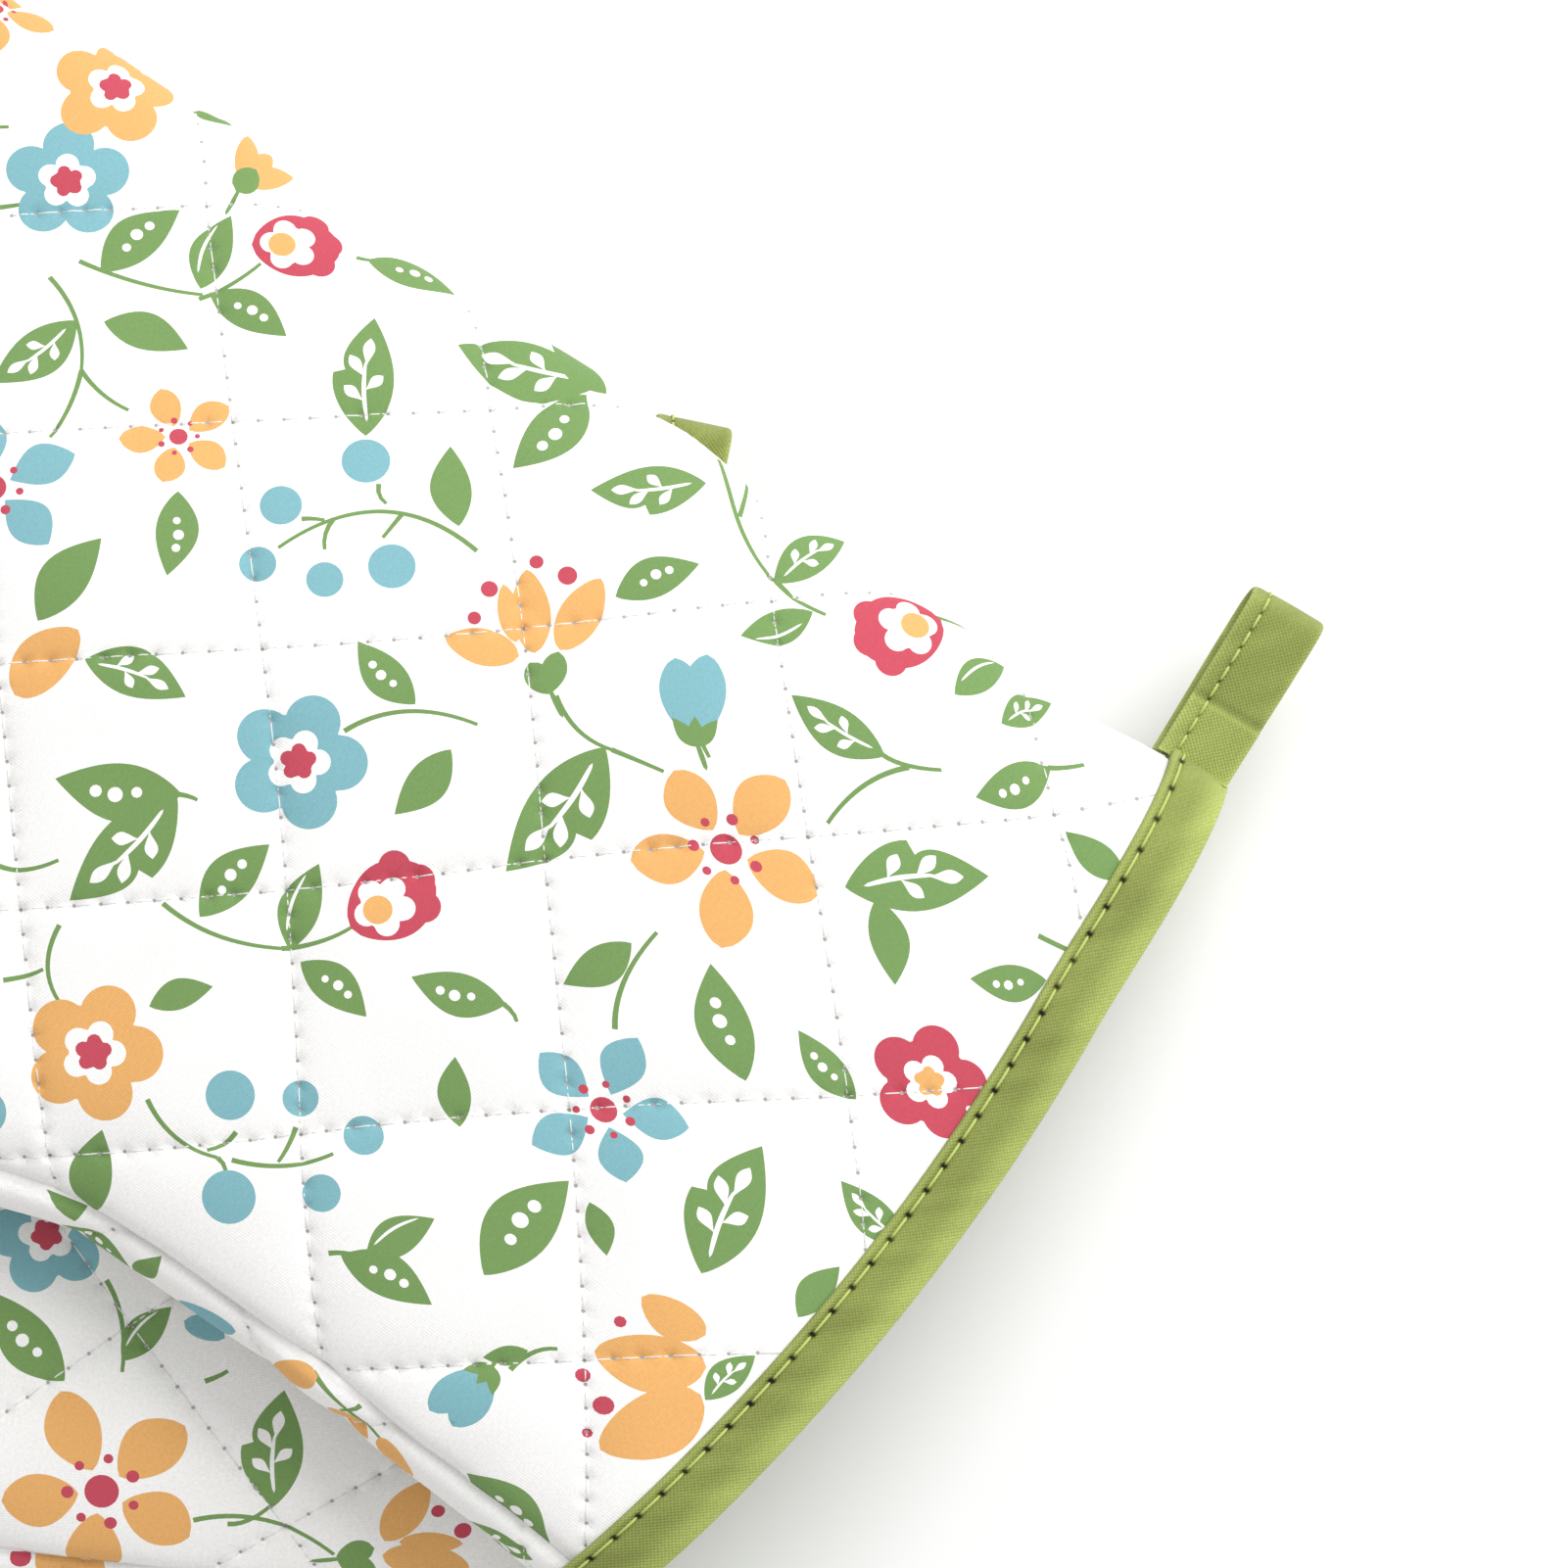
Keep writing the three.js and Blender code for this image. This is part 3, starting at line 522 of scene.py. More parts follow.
def lens(start, end, half, step, fat=0.9, bow=0.0, blunt=1.0, notch=0.0):
    """A petal's or leaf's outline from one point to another: fat moves its widest place, bow bends it, and
    blunt rounds its ends."""
    start, end = np.array(start, float), np.array(end, float)
    ahead = end - start
    length = np.hypot(*ahead)
    count = max(5, round(1.1 * length / step))
    t = np.linspace(0, 1, count + 1)
    wide = half * np.sin(math.pi * t ** fat).clip(0) ** blunt
    middle = bow * np.sin(math.pi * t)
    cut = 1 - notch * np.where(t > NOTCH_AT, np.exp(-(t - NOTCH_AT) / NOTCH_FADE), 0)
    up = np.array([-ahead[1], ahead[0]]) / length
    upper = start + t[:, None] * ahead + (middle + wide * cut)[:, None] * up
    lower = start + t[:, None] * ahead + (middle - wide)[:, None] * up
    return np.vstack([upper, lower[-2:0:-1]])


def rosette(x, y, radius, step, turn):
    """The outline of a ring of round petals."""
    angle = np.linspace(0, 2 * math.pi, max(3 * PETALS, round(7 * radius / step)), endpoint=False)
    off = (angle - turn + math.pi / PETALS) % (2 * math.pi / PETALS) - math.pi / PETALS
    reach = PETAL_OUT * np.cos(off) + np.sqrt((PETAL_SIZE**2 - (PETAL_OUT * np.sin(off)) ** 2).clip(0))
    return (x, y) + polar(radius * reach, angle)


NOTCH = 0.45
NOTCH_AT = 0.52
NOTCH_FADE = 0.14
LEAF_HALF = 0.24
LEAF_BOW = 0.05
TAPER = 0.03
PETALS = 5  # of a rosette, with how far out and how large they are
PETAL_OUT = 0.6
PETAL_SIZE = 0.4
DOTS = ((0.33, 0.02, 0.045), (0.5, 0.06, 0.062), (0.66, 0.05, 0.05))  # along, across, radius
VEINS = ((0.27, 52, 0.2), (0.36, -46, 0.2), (0.47, 34, 0.23), (0.56, -6, 0.26))  # along, degrees, length


def motif(kind, ink, step):
    """A leaf or flower of unit length: pairs of an outline and an ink, the lowest first."""
    shapes = []

    def petal(x, y, tip_x, tip_y, half, colour=ink, finer=1, **form):
        shapes.append((lens((x, y), (tip_x, tip_y), half, step * finer, **form), colour))

    def dot(x, y, radius, colour=RED, finer=1):
        shapes.append((disc(x, y, radius, step * finer), colour))

    def ring(x, radius, colour, turn=0.0):
        shapes.append((rosette(x, 0, radius, step, turn), colour))

    if ink == GREEN:
        petal(-TAPER, 0, 1, 0, LEAF_HALF, bow=LEAF_BOW, notch=NOTCH * (kind == "notched"), blunt=0.95)
    if kind == "dotted":
        for x, y, radius in DOTS:
            dot(x, y + 0.01, radius, WHITE, 0.7)
    if kind == "slit":
        petal(0.16, 0.1, 0.84, 0.1, 0.02, WHITE, bow=0.05, blunt=0.4)
    if kind in ("veined", "notched"):
        petal(0.1, 0, 0.62, 0.04, 0.017, WHITE, bow=0.02, blunt=0.3)
        for x, degrees, length in VEINS:
            turn = math.radians(degrees)
            tip = (x + length * math.cos(turn), 0.04 + length * math.sin(turn))
            petal(x, 0.035, *tip, 0.047, WHITE, 0.7, fat=1.6)
    if kind == "round":
        ring(0, 1, ink)
        ring(0, 0.47, WHITE)
        ring(0, 0.27, ORANGE if ink == RED else RED, 0.3)
    if kind == "star":
        for n, reach in enumerate((1, 0.92, 0.98, 0.88, 0.95)):
            turn = 2 * math.pi * n / 5 + 0.06 * math.sin(7 * n)
            x, y = math.cos(turn), math.sin(turn)
            blunt = 0.85 if ink == BLUE else 0.62
            petal(x * 0.21, y * 0.21, x * reach, y * reach, 0.255, fat=1.12, bow=0.03, blunt=blunt)
        dot(0, 0, 0.155)
        for n in range(7):
            turn = 2 * math.pi * (n + 0.35) / 7
            dot(0.31 * math.cos(turn), 0.31 * math.sin(turn), 0.058 if n % 2 else 0.045, finer=0.6)
    if kind == "tulip":
        petal(-0.02, 0, 1, 0, 0.42, fat=1.05, blunt=0.55)
        for x, y in ((0.72, 0.28), (0.85, 0.02), (0.74, -0.25)):
            dot(x, y, 0.17, ink)
        ring(0.4, 0.33, WHITE, 0.5)
        dot(0.32, 0, 0.155, ORANGE)
    if kind == "heart":
        petal(0.02, 0.06, 0.95, 0.2, 0.24, fat=1.2, blunt=0.6)
        petal(0.02, -0.06, 1, -0.16, 0.24, fat=1.2, blunt=0.6)
        for y in (-0.25, 0, 0.25):
            petal(-0.08, 0, 0.27 - 0.1 * abs(y), y, 0.09, GREEN, fat=0.8)
        petal(-0.34, -0.1, 0, 0, 0.03, GREEN, blunt=0.3)
    if kind == "blossom":
        for x, y, tip_x, tip_y, half in ((0.35, 0.17, 0.56, 0.71, 0.15), (0.46, 0.18, 0.94, 0.22, 0.09),
                                         (0.36, 0.05, 1.04, 0.03, 0.15), (0.36, -0.14, 0.9, -0.52, 0.16)):
            petal(x, y, tip_x, tip_y, half, blunt=0.65)
        for x, y, spot in ((0.69, 0.47, 0.052), (0.91, 0.33, 0.066), (1.09, -0.05, 0.055),
                           (0.95, -0.27, 0.075)):
            dot(x, y, spot, finer=0.7)
        for x, y in ((0.29, 0.1), (0.35, -0.13)):
            petal(0.02, -0.01, x, y, 0.1, GREEN, fat=1.2, blunt=0.6)
        petal(-0.18, -0.1, 0.08, -0.02, 0.02, GREEN, blunt=0.3)
    if kind == "cup":
        for y in (-0.5, 0.5, 0):
            petal(0.05, 0, 0.9, y, 0.2, blunt=0.7)
        petal(-0.12, 0, 0.4, 0, 0.22, GREEN, blunt=0.6)
        petal(-0.55, -0.12, 0, 0, 0.035, GREEN, blunt=0.3)
    if kind == "bud":
        petal(0, 0, 1, 0, 0.3, blunt=0.6, bow=0.05)
    return shapes


def laid(shapes, base, tip):
    """Unit shapes moved so that they run from base to tip."""
    ahead = tip - base
    axes = np.array([ahead, (-ahead[1], ahead[0])], float)
    return [(loop @ axes + base, ink) for loop, ink in shapes]


def stem(start, towards, end):
    """A thin stem along a bent line, thinner at its end."""
    length = np.hypot(*(towards - start)) + np.hypot(*(end - towards))
    t = np.linspace(0, 1, max(3, round(length / 1.3)) + 1)[:, None]
    line = (1 - t) ** 2 * start + 2 * t * (1 - t) * towards + t ** 2 * end
    ahead = np.gradient(line, axis=0)
    ahead /= np.hypot(*ahead.T)[:, None]
    off = left_of(ahead) * STEM_WIDTH / 2 * mix(1.1, 0.75, t)
    return np.vstack([line + off, (line - off)[::-1]])


def printed(name):
    """Outlines and inks of all that is printed on a panel's flat cloth, the lowest first."""
    stems, motifs = [], []
    taken = np.empty((0, 3))  # circles round what earlier copies of the chart hold

    def free(points, radius):
        points = np.atleast_2d(points)
        gaps = np.hypot(points[:, None, 0] - taken[:, 0], points[:, None, 1] - taken[:, 1])
        return (gaps > HELD_SHARE * (radius + taken[:, 2])).all()

    def add(shift, leaves, flowers, berries, lines):
        held = []
        for kind, ink, *ends in [(kind, GREEN, *ends) for kind, *ends in leaves] + list(flowers):
            base, tip = np.reshape(ends, (2, 2)) + shift
            size = np.hypot(*(tip - base))
            middle, reach = (base + tip) / 2, size * (LEAF_HOLDS if ink == GREEN else FLOWER_HOLDS)
            if kind in ("round", "star"):
                middle, reach = base, size
            if free(middle, reach):
                held.append((*middle, reach))
                motifs.extend(laid(motif(kind, ink, LOOP_STEP / size), base, tip))
        for ink, x, y, radius in berries:
            x, y = shift[0] + x, shift[1] + y
            if free((x, y), radius):
                held.append((x, y, radius))
                motifs.append((disc(x, y, radius, LOOP_STEP), ink))
        for line in lines:
            line = np.reshape(line, (3, 2)) + shift
            if free(line, STEM_HOLDS):
                stems.append((stem(*line), GREEN))
        return np.vstack([taken, *held]) if held else taken

    if name in OWN:
        taken = add((0, 0), *OWN[name])
    for n, copy in enumerate(COPIES):
        if n == 1:
            taken = np.vstack([taken, *BARE.get(name, ())])
        taken = add(ORIGINS[name] + REPEAT * copy, LEAVES, FLOWERS, BERRIES, STEMS)
    return stems + motifs


# Meshes

def mesh_object(name, points, faces, material):
    """A smooth object from points in millimetres and faces."""
    mesh = bpy.data.meshes.new(name)
    mesh.from_pydata(np.reshape(points, (-1, 3)) * MM, [], faces)
    mesh.update()
    mesh.polygons.foreach_set("use_smooth", [True] * len(mesh.polygons))
    mesh.materials.append(material)
    made = bpy.data.objects.new(name, mesh)
    bpy.context.scene.collection.objects.link(made)
    return made


def coloured(made, shades, flat=None):
    """The object with the colours of its points or corners, painted light and shade among them, and each
    point's flat place for the weave.
    """
    mesh = made.data
    domain = "POINT" if len(shades) == len(mesh.vertices) else "CORNER"
    ink = mesh.attributes.new("ink", "FLOAT_COLOR", domain)
    ink.data.foreach_set("color", np.insert(shades, 3, 1, axis=1).astype(np.float32).ravel())
    layer = mesh.uv_layers.new(name="flat")
    if flat is not None:
        corners = np.empty(len(mesh.loops), np.int32)
        mesh.loops.foreach_get("vertex_index", corners)
        layer.data.foreach_set("uv", (flat[corners] * MM).astype(np.float32).ravel())
    return made


def loop_of(faces):
    """The outer loop of a patch of triangles, as vertex numbers."""
    edges = np.vstack([faces[:, [0, 1]], faces[:, [1, 2]], faces[:, [2, 0]]])
    back = {(b, a) for a, b in edges.tolist()}
    onward = {a: b for a, b in edges.tolist() if (a, b) not in back}
    first = min(onward)
    loop = [first]
    while onward[loop[-1]] != first:
        loop.append(onward[loop[-1]])
    assert len(loop) == len(onward), "a panel's edge isn't one loop"
    return loop


def inside(loop, q):
    """Which of the flat points lie in a loop."""
    x, y = q[:, 0], q[:, 1]
    found = np.zeros(len(q), bool)
    before = np.roll(loop, 1, axis=0)
    for (ax, ay), (bx, by) in zip(loop, before):
        if ay == by:
            continue
        found ^= ((ay > y) != (by > y)) & (x < (bx - ax) * (y - ay) / (by - ay) + ax)
    return found


def anticlockwise(loop):
    x, y = loop[:, 0], loop[:, 1]
    area = (x * np.roll(y, -1) - y * np.roll(x, -1)).sum()
    return loop if area > 0 else loop[::-1]


def cut_sheet(border, grid, shapes=()):
    """Triangles of a flat sheet inside a border, with grid points, cut along shapes, which are pairs of a
    loop and a number. Returns points, triangles and each triangle's number, 0 where no shape covers it."""
    loops = [anticlockwise(border)] + [anticlockwise(loop) for loop, _ in shapes]
    starts = np.cumsum([0] + [len(loop) for loop in loops])
    faces = [list(range(a, b)) for a, b in zip(starts[:-1], starts[1:])]
    points = np.vstack([*loops, grid])
    made = delaunay_2d_cdt([Vector(p) for p in points.tolist()], [], faces, 0, 1e-5)
    numbers = [0] + [number for _, number in shapes]
    kept = [n for n, of in enumerate(made[5]) if 0 in of]
    triangles = np.array([made[2][n] for n in kept])
    colours = np.array([numbers[max(made[5][n])] for n in kept])
    flat = np.array([tuple(p) for p in made[0]])
    used, triangles = np.unique(triangles, return_inverse=True)
    return flat[used], triangles.reshape(-1, 3), colours


def graded(widest, start, growth):
    """Places across a pitch, close together near its stitch lines."""
    step, places = start, [0.0]
    while places[-1] + step < QUILT / 2:
        places.append(places[-1] + step)
        step = min(step * growth, widest)
    places = np.array(places)
    return np.concatenate([places, QUILT - places[:0:-1]]) / QUILT


REACH = 12  # pitches each way that cover a panel
PANEL_HALF = 130
PANEL_END = 330


def on_panel(q, low):
    """Which flat points may lie on a panel, further along than a place."""
    return (np.abs(q[:, 0]) < PANEL_HALF) & (q[:, 1] > low) & (q[:, 1] < PANEL_END)


def quilt_grid(mitt, widest, start, growth):
    """Flat points on a grid that follows the stitch lines."""
    one = graded(widest, start, growth)
    run = np.concatenate([one + k for k in range(-REACH, REACH)])
    a, b = np.meshgrid(run, run)
    q = quilt_points(mitt, a.ravel(), b.ravel())
    return q[on_panel(q, 0)]


def clear_of(points, others, distance):
    """Which flat points lie further than a distance from all others."""
    tree = tree_of(others)
    return np.array([tree.find((x, y, 0))[2] > distance for x, y in points.tolist()], bool)


def inside_edge(pattern, q, margin):
    """Which flat points lie in a panel, further than a margin from its edge."""
    distance, place, _ = nearest(q)
    return distance > np.interp(place, seam_reach, pattern.edge) + margin


def within(pattern, border, q, margin, low):
    """The flat points inside a border, further than a margin from the panel's edge and above a place."""
    q = q[inside(border, q)]
    return q[inside_edge(pattern, q, margin) & (q[:, 1] > low)]


def stitches(mitt, pattern, border):
    """The flat ends of every quilting stitch of a panel."""
    run = np.arange(-REACH * STITCHES, REACH * STITCHES + 1) / STITCHES
    lines, along = (n.ravel() for n in np.meshgrid(np.arange(-REACH, REACH + 1.0), run[:-1]))
    onward = along + 1 / STITCHES
    starts = np.vstack([quilt_points(mitt, lines, along), quilt_points(mitt, along, lines)])
    ends = np.vstack([quilt_points(mitt, lines, onward), quilt_points(mitt, onward, lines)])

    def good(q):
        near = on_panel(q, BINDING_WIDTH - 2)
        near[near] = inside(border, q[near])
        near[near] = inside_edge(pattern, q[near], 2)
        return near

    both = good(starts) & good(ends)
    return starts[both], ends[both]


CUFF_POINTS = 134
HOLE_RADIUS = 0.33
FINE = (1.45, 0.6, 1.25)  # mesh steps between the stitch lines and at one, and how they grow
COARSE = (4.5, 3, 1.2)
SEAM_ROWS = (0.5, 1.1, 1.9)  # beside the seam, which is drawn in there
PRINT_CLEAR = 0.42  # what the mesh's own points leave free round the print
QUILT_BEAD = ((0, -0.4), (0.12, 0), (0.5, 0.05), (0.88, 0), (1, -0.4))  # share of a stitch, height
BINDING_BEAD = ((0.06, -0.35), (0.2, 0.02), (0.5, 0.12), (0.8, 0.02), (0.94, -0.35))
LOOP_BEAD = ((0.08, -0.3), (0.22, 0.02), (0.5, 0.12), (0.78, 0.02), (0.92, -0.3))
PROBE = 0.3
SIDES = 6  # of a thread


def linear(shade):
    """Linear light from a colour as seen, 0 to 255."""
    shade = np.array(shade, float) / 255
    return np.where(shade <= 0.04045, shade / 12.92, ((shade + 0.055) / 1.055) ** 2.4)


# Cloth colours in this light for the print's inks and for the painted shade of the needle holes
def ink_table():
    table = np.array([linear(INKS[n]) / LIT for n in sorted(INKS)])
    table[WHITE] *= COTTON_WHITE / table[WHITE].max()
    return table


def run_of_threads(count, point):
    """A number of threads: their centres, directions aside and directions up. Point gives the centres,
    moved aside and up."""
    middle, aside, up = point(0, 0), point(PROBE, 0), point(0, PROBE)
    return [part.reshape(count, -1, 3) for part in (middle, aside - middle, up - middle)]


def panel(mitt, sign, material):
    """A panel: printed and quilted outside, plain inside, and closed round its edge. Returns it and the
    threads of its quilting."""
    side = "top" if sign > 0 else "under"
    pattern = Pattern(sign)
    cuff = np.linspace(pattern.border[-1, 0], pattern.border[0, 0], CUFF_POINTS)
    cuff = np.column_stack([cuff, np.full(CUFF_POINTS, CUFF_EDGE)])
    border = np.vstack([pattern.border[pattern.border[:, 1] > CUFF_EDGE + 0.2], cuff])
    starts, ends = stitches(mitt, pattern, border)
    spots = np.unique(np.round(np.vstack([starts, ends]), 2), axis=0)
    shapes = printed(f"{mitt.name}_{side}")
    loops = [loop for loop, _ in shapes]
    on_cloth = np.split(inside(border, np.vstack(loops)), np.cumsum([len(loop) for loop in loops])[:-1])
    shapes = [shape for shape, points in zip(shapes, on_cloth) if points.any()]
    # Painted shade: a small grey ring round each needle hole
    ring = polar(HOLE_RADIUS, np.radians(np.arange(0, 360, 60)))
    shapes += [(spot + ring, HOLE_SHADE) for spot in spots]

    low = CUFF_EDGE + 0.6
    rows = np.vstack([(seam + inward * (pattern.edge + d)[:, None])[2:-2] for d in SEAM_ROWS])
    grid = np.vstack([within(pattern, border, quilt_grid(mitt, *FINE), 0.5, low),
                      within(pattern, border, rows, 0.35, low)])
    grid = grid[clear_of(grid, np.vstack([loop for loop, _ in shapes]), PRINT_CLEAR)]
    flat, triangles, colours = cut_sheet(border, np.vstack([grid, spots]), shapes)
    loop = np.array(loop_of(triangles))
    rim = flat[loop]
    flat_in, triangles_in, _ = cut_sheet(rim, within(pattern, rim, quilt_grid(mitt, *COARSE), 2, 2))
    loop_in = np.array(loop_of(triangles_in))
    # Both loops run the same way, so they are matched at one place
    loop_in = np.roll(loop_in, -np.linalg.norm(flat_in[loop_in] - rim[0], axis=1).argmin())
    assert np.allclose(flat_in[loop_in], rim, atol=1e-3), "the panel's faces don't share an edge"

    loop_in += len(flat)
    onward, onward_in = np.roll(loop, -1), np.roll(loop_in, -1)
    edge = np.column_stack([onward, loop, loop_in, onward, loop_in, onward_in]).reshape(-1, 3)
    faces = np.vstack([triangles, triangles_in[:, ::-1] + len(flat), edge])
    colours = np.concatenate([colours, np.full(len(faces) - len(colours), WHITE)])
    points = np.vstack([bent(mitt, pattern, flat), bent(mitt, pattern, flat_in, "inner")])
    made = mesh_object(f"{mitt.name}_{side}_cloth", points, faces[:, ::sign].tolist(), material)
    coloured(made, np.repeat(ink_table()[colours], 3, axis=0), np.vstack([flat, flat_in]))

    share, rise = np.array(QUILT_BEAD).T
    rise = np.tile(rise, len(starts))
    centre = starts[:, None] + share[:, None] * (ends - starts)[:, None]
    left = left_of(unit(ends - starts))[:, None]
    return made, run_of_threads(len(starts), lambda aside, up: bent(
        mitt, pattern, (centre + aside * left).reshape(-1, 2), proud=rise + up))


def tube_section(stations, ring):
    """Quads of a closed section swept through stations and back to the first: rows of points."""
    s, k = np.meshgrid(np.arange(stations), np.arange(ring), indexing="ij")
    t, m = (s + 1) % stations, (k + 1) % ring
    return np.column_stack([(row * ring + at).ravel() for row, at in ((s, k), (s, m), (t, m), (t, k))])


def threads(name, runs, radius, colour, material):
    """Short threads of runs like the above, each a bead that dives into the cloth at both ends."""
    middle, aside, up = (np.concatenate(parts) for parts in zip(*runs))
    aside = unit(aside)
    up = unit(up - (up * aside).sum(2)[..., None] * aside)
    count, steps = middle.shape[:2]
    swell = radius * np.interp(np.linspace(0, 1, steps), [0, 0.2, 0.8, 1], [0.55, 1, 1, 0.55])
    angle = np.linspace(0, 2 * math.pi, SIDES, endpoint=False)[:, None]
    points = middle[:, :, None] + swell[:, None, None] * (
        np.cos(angle) * aside[:, :, None] + np.sin(angle) * up[:, :, None])
    first = np.arange(count)[:, None, None] * steps * SIDES
    quads = tube_section(steps, SIDES)[:(steps - 1) * SIDES, [0, 3, 2, 1]]
    caps = np.array([np.arange(SIDES), np.arange(steps * SIDES)[:-SIDES - 1:-1]])
    faces = (first + quads).reshape(-1, 4).tolist() + (first + caps).reshape(-1, SIDES).tolist()
    # Wound so that the faces look outwards
    turned = np.cross(middle[:, 1] - middle[:, 0], aside[:, 0])
    if (turned * up[:, 0]).sum() < 0:
        faces = [face[::-1] for face in faces]
    made = mesh_object(name, points, faces, material)
    coloured(made, np.tile(linear(colour) / LIT, (count * steps * SIDES, 1)))
    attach(made, "root")
    return made


def tape_mesh(name, points, faces, flat, shade, material):
    """A piece of tape, with flat coordinates and a shade for each point: painted light and shade that mixes
    the tape's green towards a lighter green.
    """
    made = mesh_object(name, points, faces, material)
    shades = mix(linear(TAPE_GREEN), linear(TAPE_HIGHLIGHT), shade.reshape(-1, 1)) / LIT
    return coloured(made, shades, flat.reshape(-1, 2))


# The cuff's binding

CLOSE = 0.2  # what the binding leaves free over the cloth
TAPE = 0.8
BULGE = 0.9  # of the folded end at the far corner
TOP_STITCH = 1.7  # from the leg's end
TOP_STITCHES = 70
PER_STITCH = 6
LEG_WIDE = 10
LEG_NARROW = 9.5
SEAM_LEAN = 0.02
LEG_ENDS = (0, 0.25, 0.6, 1, 1.35, 1.7, 2.05, 2.4, 3, 4, 5.2, 6.4, 7.6, 8.8)  # of its rows


def mouth_line(steps):
    """Places round the mouth, evenly spaced: across and height. Anticlockwise seen from the cuff's end."""
    angle = np.radians(np.linspace(-90, 90, 61))
    right = np.column_stack([HALF_WIDTH - SHOULDER + SHOULDER * np.cos(angle), HALF_CUFF * np.sin(angle)])
    line = resampled(np.vstack([right, right[::-1] * (-1, 1), right[:1]]), 1)
    line = resampled(line, run_of(line)[-1] / steps)
    return line[:-1]


mouth = mouth_line(TOP_STITCHES * PER_STITCH)
mouth_ahead = np.roll(mouth, -1, axis=0) - np.roll(mouth, 1, axis=0)
mouth_out = -left_of(unit(mouth_ahead))
mouth_step = np.hypot(*(mouth[1] - mouth[0]))


def on_binding(mitt, leg, off, w, at):
    """Points of the binding at places round the mouth, off the cloth on the outer or inner leg, at w."""
    whole = np.arange(len(mouth) + 1)
    x, y, out_x, out_y = (np.interp(at, whole, np.append(v, v[0])) for v in (*mouth.T, *mouth_out.T))
    if leg == "inner":
        flat_half = HALF_WIDTH - SHOULDER
        beyond = (np.abs(x) - flat_half).clip(0)
        x = np.sign(x) * (np.minimum(np.abs(x), flat_half) + beyond * (SHOULDER - WALL_CUFF) / SHOULDER)
        y = y * (HALF_CUFF - WALL_CUFF) / HALF_CUFF
    off = off + BULGE * hump(x, HALF_WIDTH, 5) * (off > CLOSE)
    off = off * (1 if leg == "outer" else -1)
    w = w * np.ones(len(x))
    w = w * np.where(w > 0, mix(LEG_NARROW, LEG_WIDE, (x / HALF_WIDTH) ** 2) / LEG_WIDE, 1)
    # The thumb's side of the seam leans outwards
    drift = -SEAM_LEAN * w.clip(0) * (-x).clip(0) / HALF_WIDTH
    return placed(mitt, x + drift + out_x * off, w, y + out_y * off)


def leg_swell(w, at):
    """How full the binding's leg is at w: rolled at its end, drawn in at the stitches."""
    end = BINDING_WIDTH - w
    rolled = math.sqrt(max(0.04, 1 - max(0, 1 - end / 0.7) ** 2))
    hole = 0.5 + 0.5 * np.cos(2 * math.pi * at / PER_STITCH)
    wrinkle = wave_noise(at * mouth_step, np.full(len(at), w * 1.4), 3.2, 9)
    fade = smooth(end, 0.2, 1.5) * smooth(w, -1, 2)
    return rolled - hump(end, TOP_STITCH, 0.7) * (0.22 + 0.22 * hole**2) - (0.08 + 0.07 * wrinkle) * fade


def binding(mitt, material):
    """Bias tape folded over the cuff's edge, with a rolled fold at the edge of each leg."""
    at = np.arange(len(mouth))
    edge = CUFF_EDGE - CLOSE
    # Painted highlight at each leg's rolled end, towards the fold and round the fold; painted shade along the
    # stitch line
    legs = [(CLOSE + TAPE * leg_swell(BINDING_WIDTH - end, at), BINDING_WIDTH - end,
             0.45 * hump(end, 0.5, 0.5) - 0.2 * hump(end, TOP_STITCH, 0.4) + 0.7 * smooth(end, 5, 9.6))
            for end in LEG_ENDS]
    folds = [(CLOSE + TAPE * math.cos(t) * 0.92, edge - TAPE * math.sin(t), 0.7 + 0.3 * math.sin(t))
             for t in np.linspace(0, QUARTER, 6)]
    cloth = [(CLOSE, w, 0) for w in (BINDING_WIDTH, BINDING_WIDTH / 2, edge)]
    rows = [("outer", *row) for row in legs + folds]  # leg, off the cloth, along, shade
    rows += [("inner", *row) for row in folds[::-1]] + [("inner", off, w, 0) for off, w, _ in legs[::-1]]
    rows += [("inner", *row) for row in cloth] + [("outer", *row) for row in cloth[::-1]]
    points = np.array([on_binding(mitt, leg, off, w, at) for leg, off, w, _ in rows]).transpose(1, 0, 2)
    flat = np.stack(np.meshgrid(at * mouth_step, run_of(points[0]), indexing="ij"), axis=-1)
    # Painted shade in the needle holes of the topstitching
    hole = 0.5 + 0.5 * np.cos(2 * math.pi * at / PER_STITCH)
    shade = np.array([row[3] for row in rows])[None] * np.ones((len(at), 1))
    holed = [row[2] > 0 and abs(BINDING_WIDTH - row[2] - TOP_STITCH) < 0.4 for row in rows]
    shade[:, holed] -= 1.3 * (hole**8)[:, None]
    # Painted highlight: the near and far corners are lighter, where the fold bulges
    shade += 0.35 * hump(np.abs(mouth[:, :1]), HALF_WIDTH, 7)
    # Painted light and shade of diagonal wrinkles, and broader patches a little lighter or darker
    across, along = flat[..., 0], flat[..., 1]
    shade += 0.16 * wave_noise(across + along, along * 0.3, 2.6, 7) + 0.12 * wave_noise(across, along, 9, 8)
    faces = tube_section(len(at), len(rows))[:, ::-1].tolist()
    made = tape_mesh(f"{mitt.name}_binding_tape", points, faces, flat, shade, material)
    share, rise = np.array(BINDING_BEAD).T
    spots = (at[::PER_STITCH, None] + share * PER_STITCH).ravel()
    level = CLOSE + TAPE * 0.75 + np.tile(rise, TOP_STITCHES)
    w = BINDING_WIDTH - TOP_STITCH
    return made, [run_of_threads(TOP_STITCHES, lambda aside, up: on_binding(
        mitt, leg, level + up, w + aside, spots)) for leg in ("outer", "inner")]


# The hanging loop

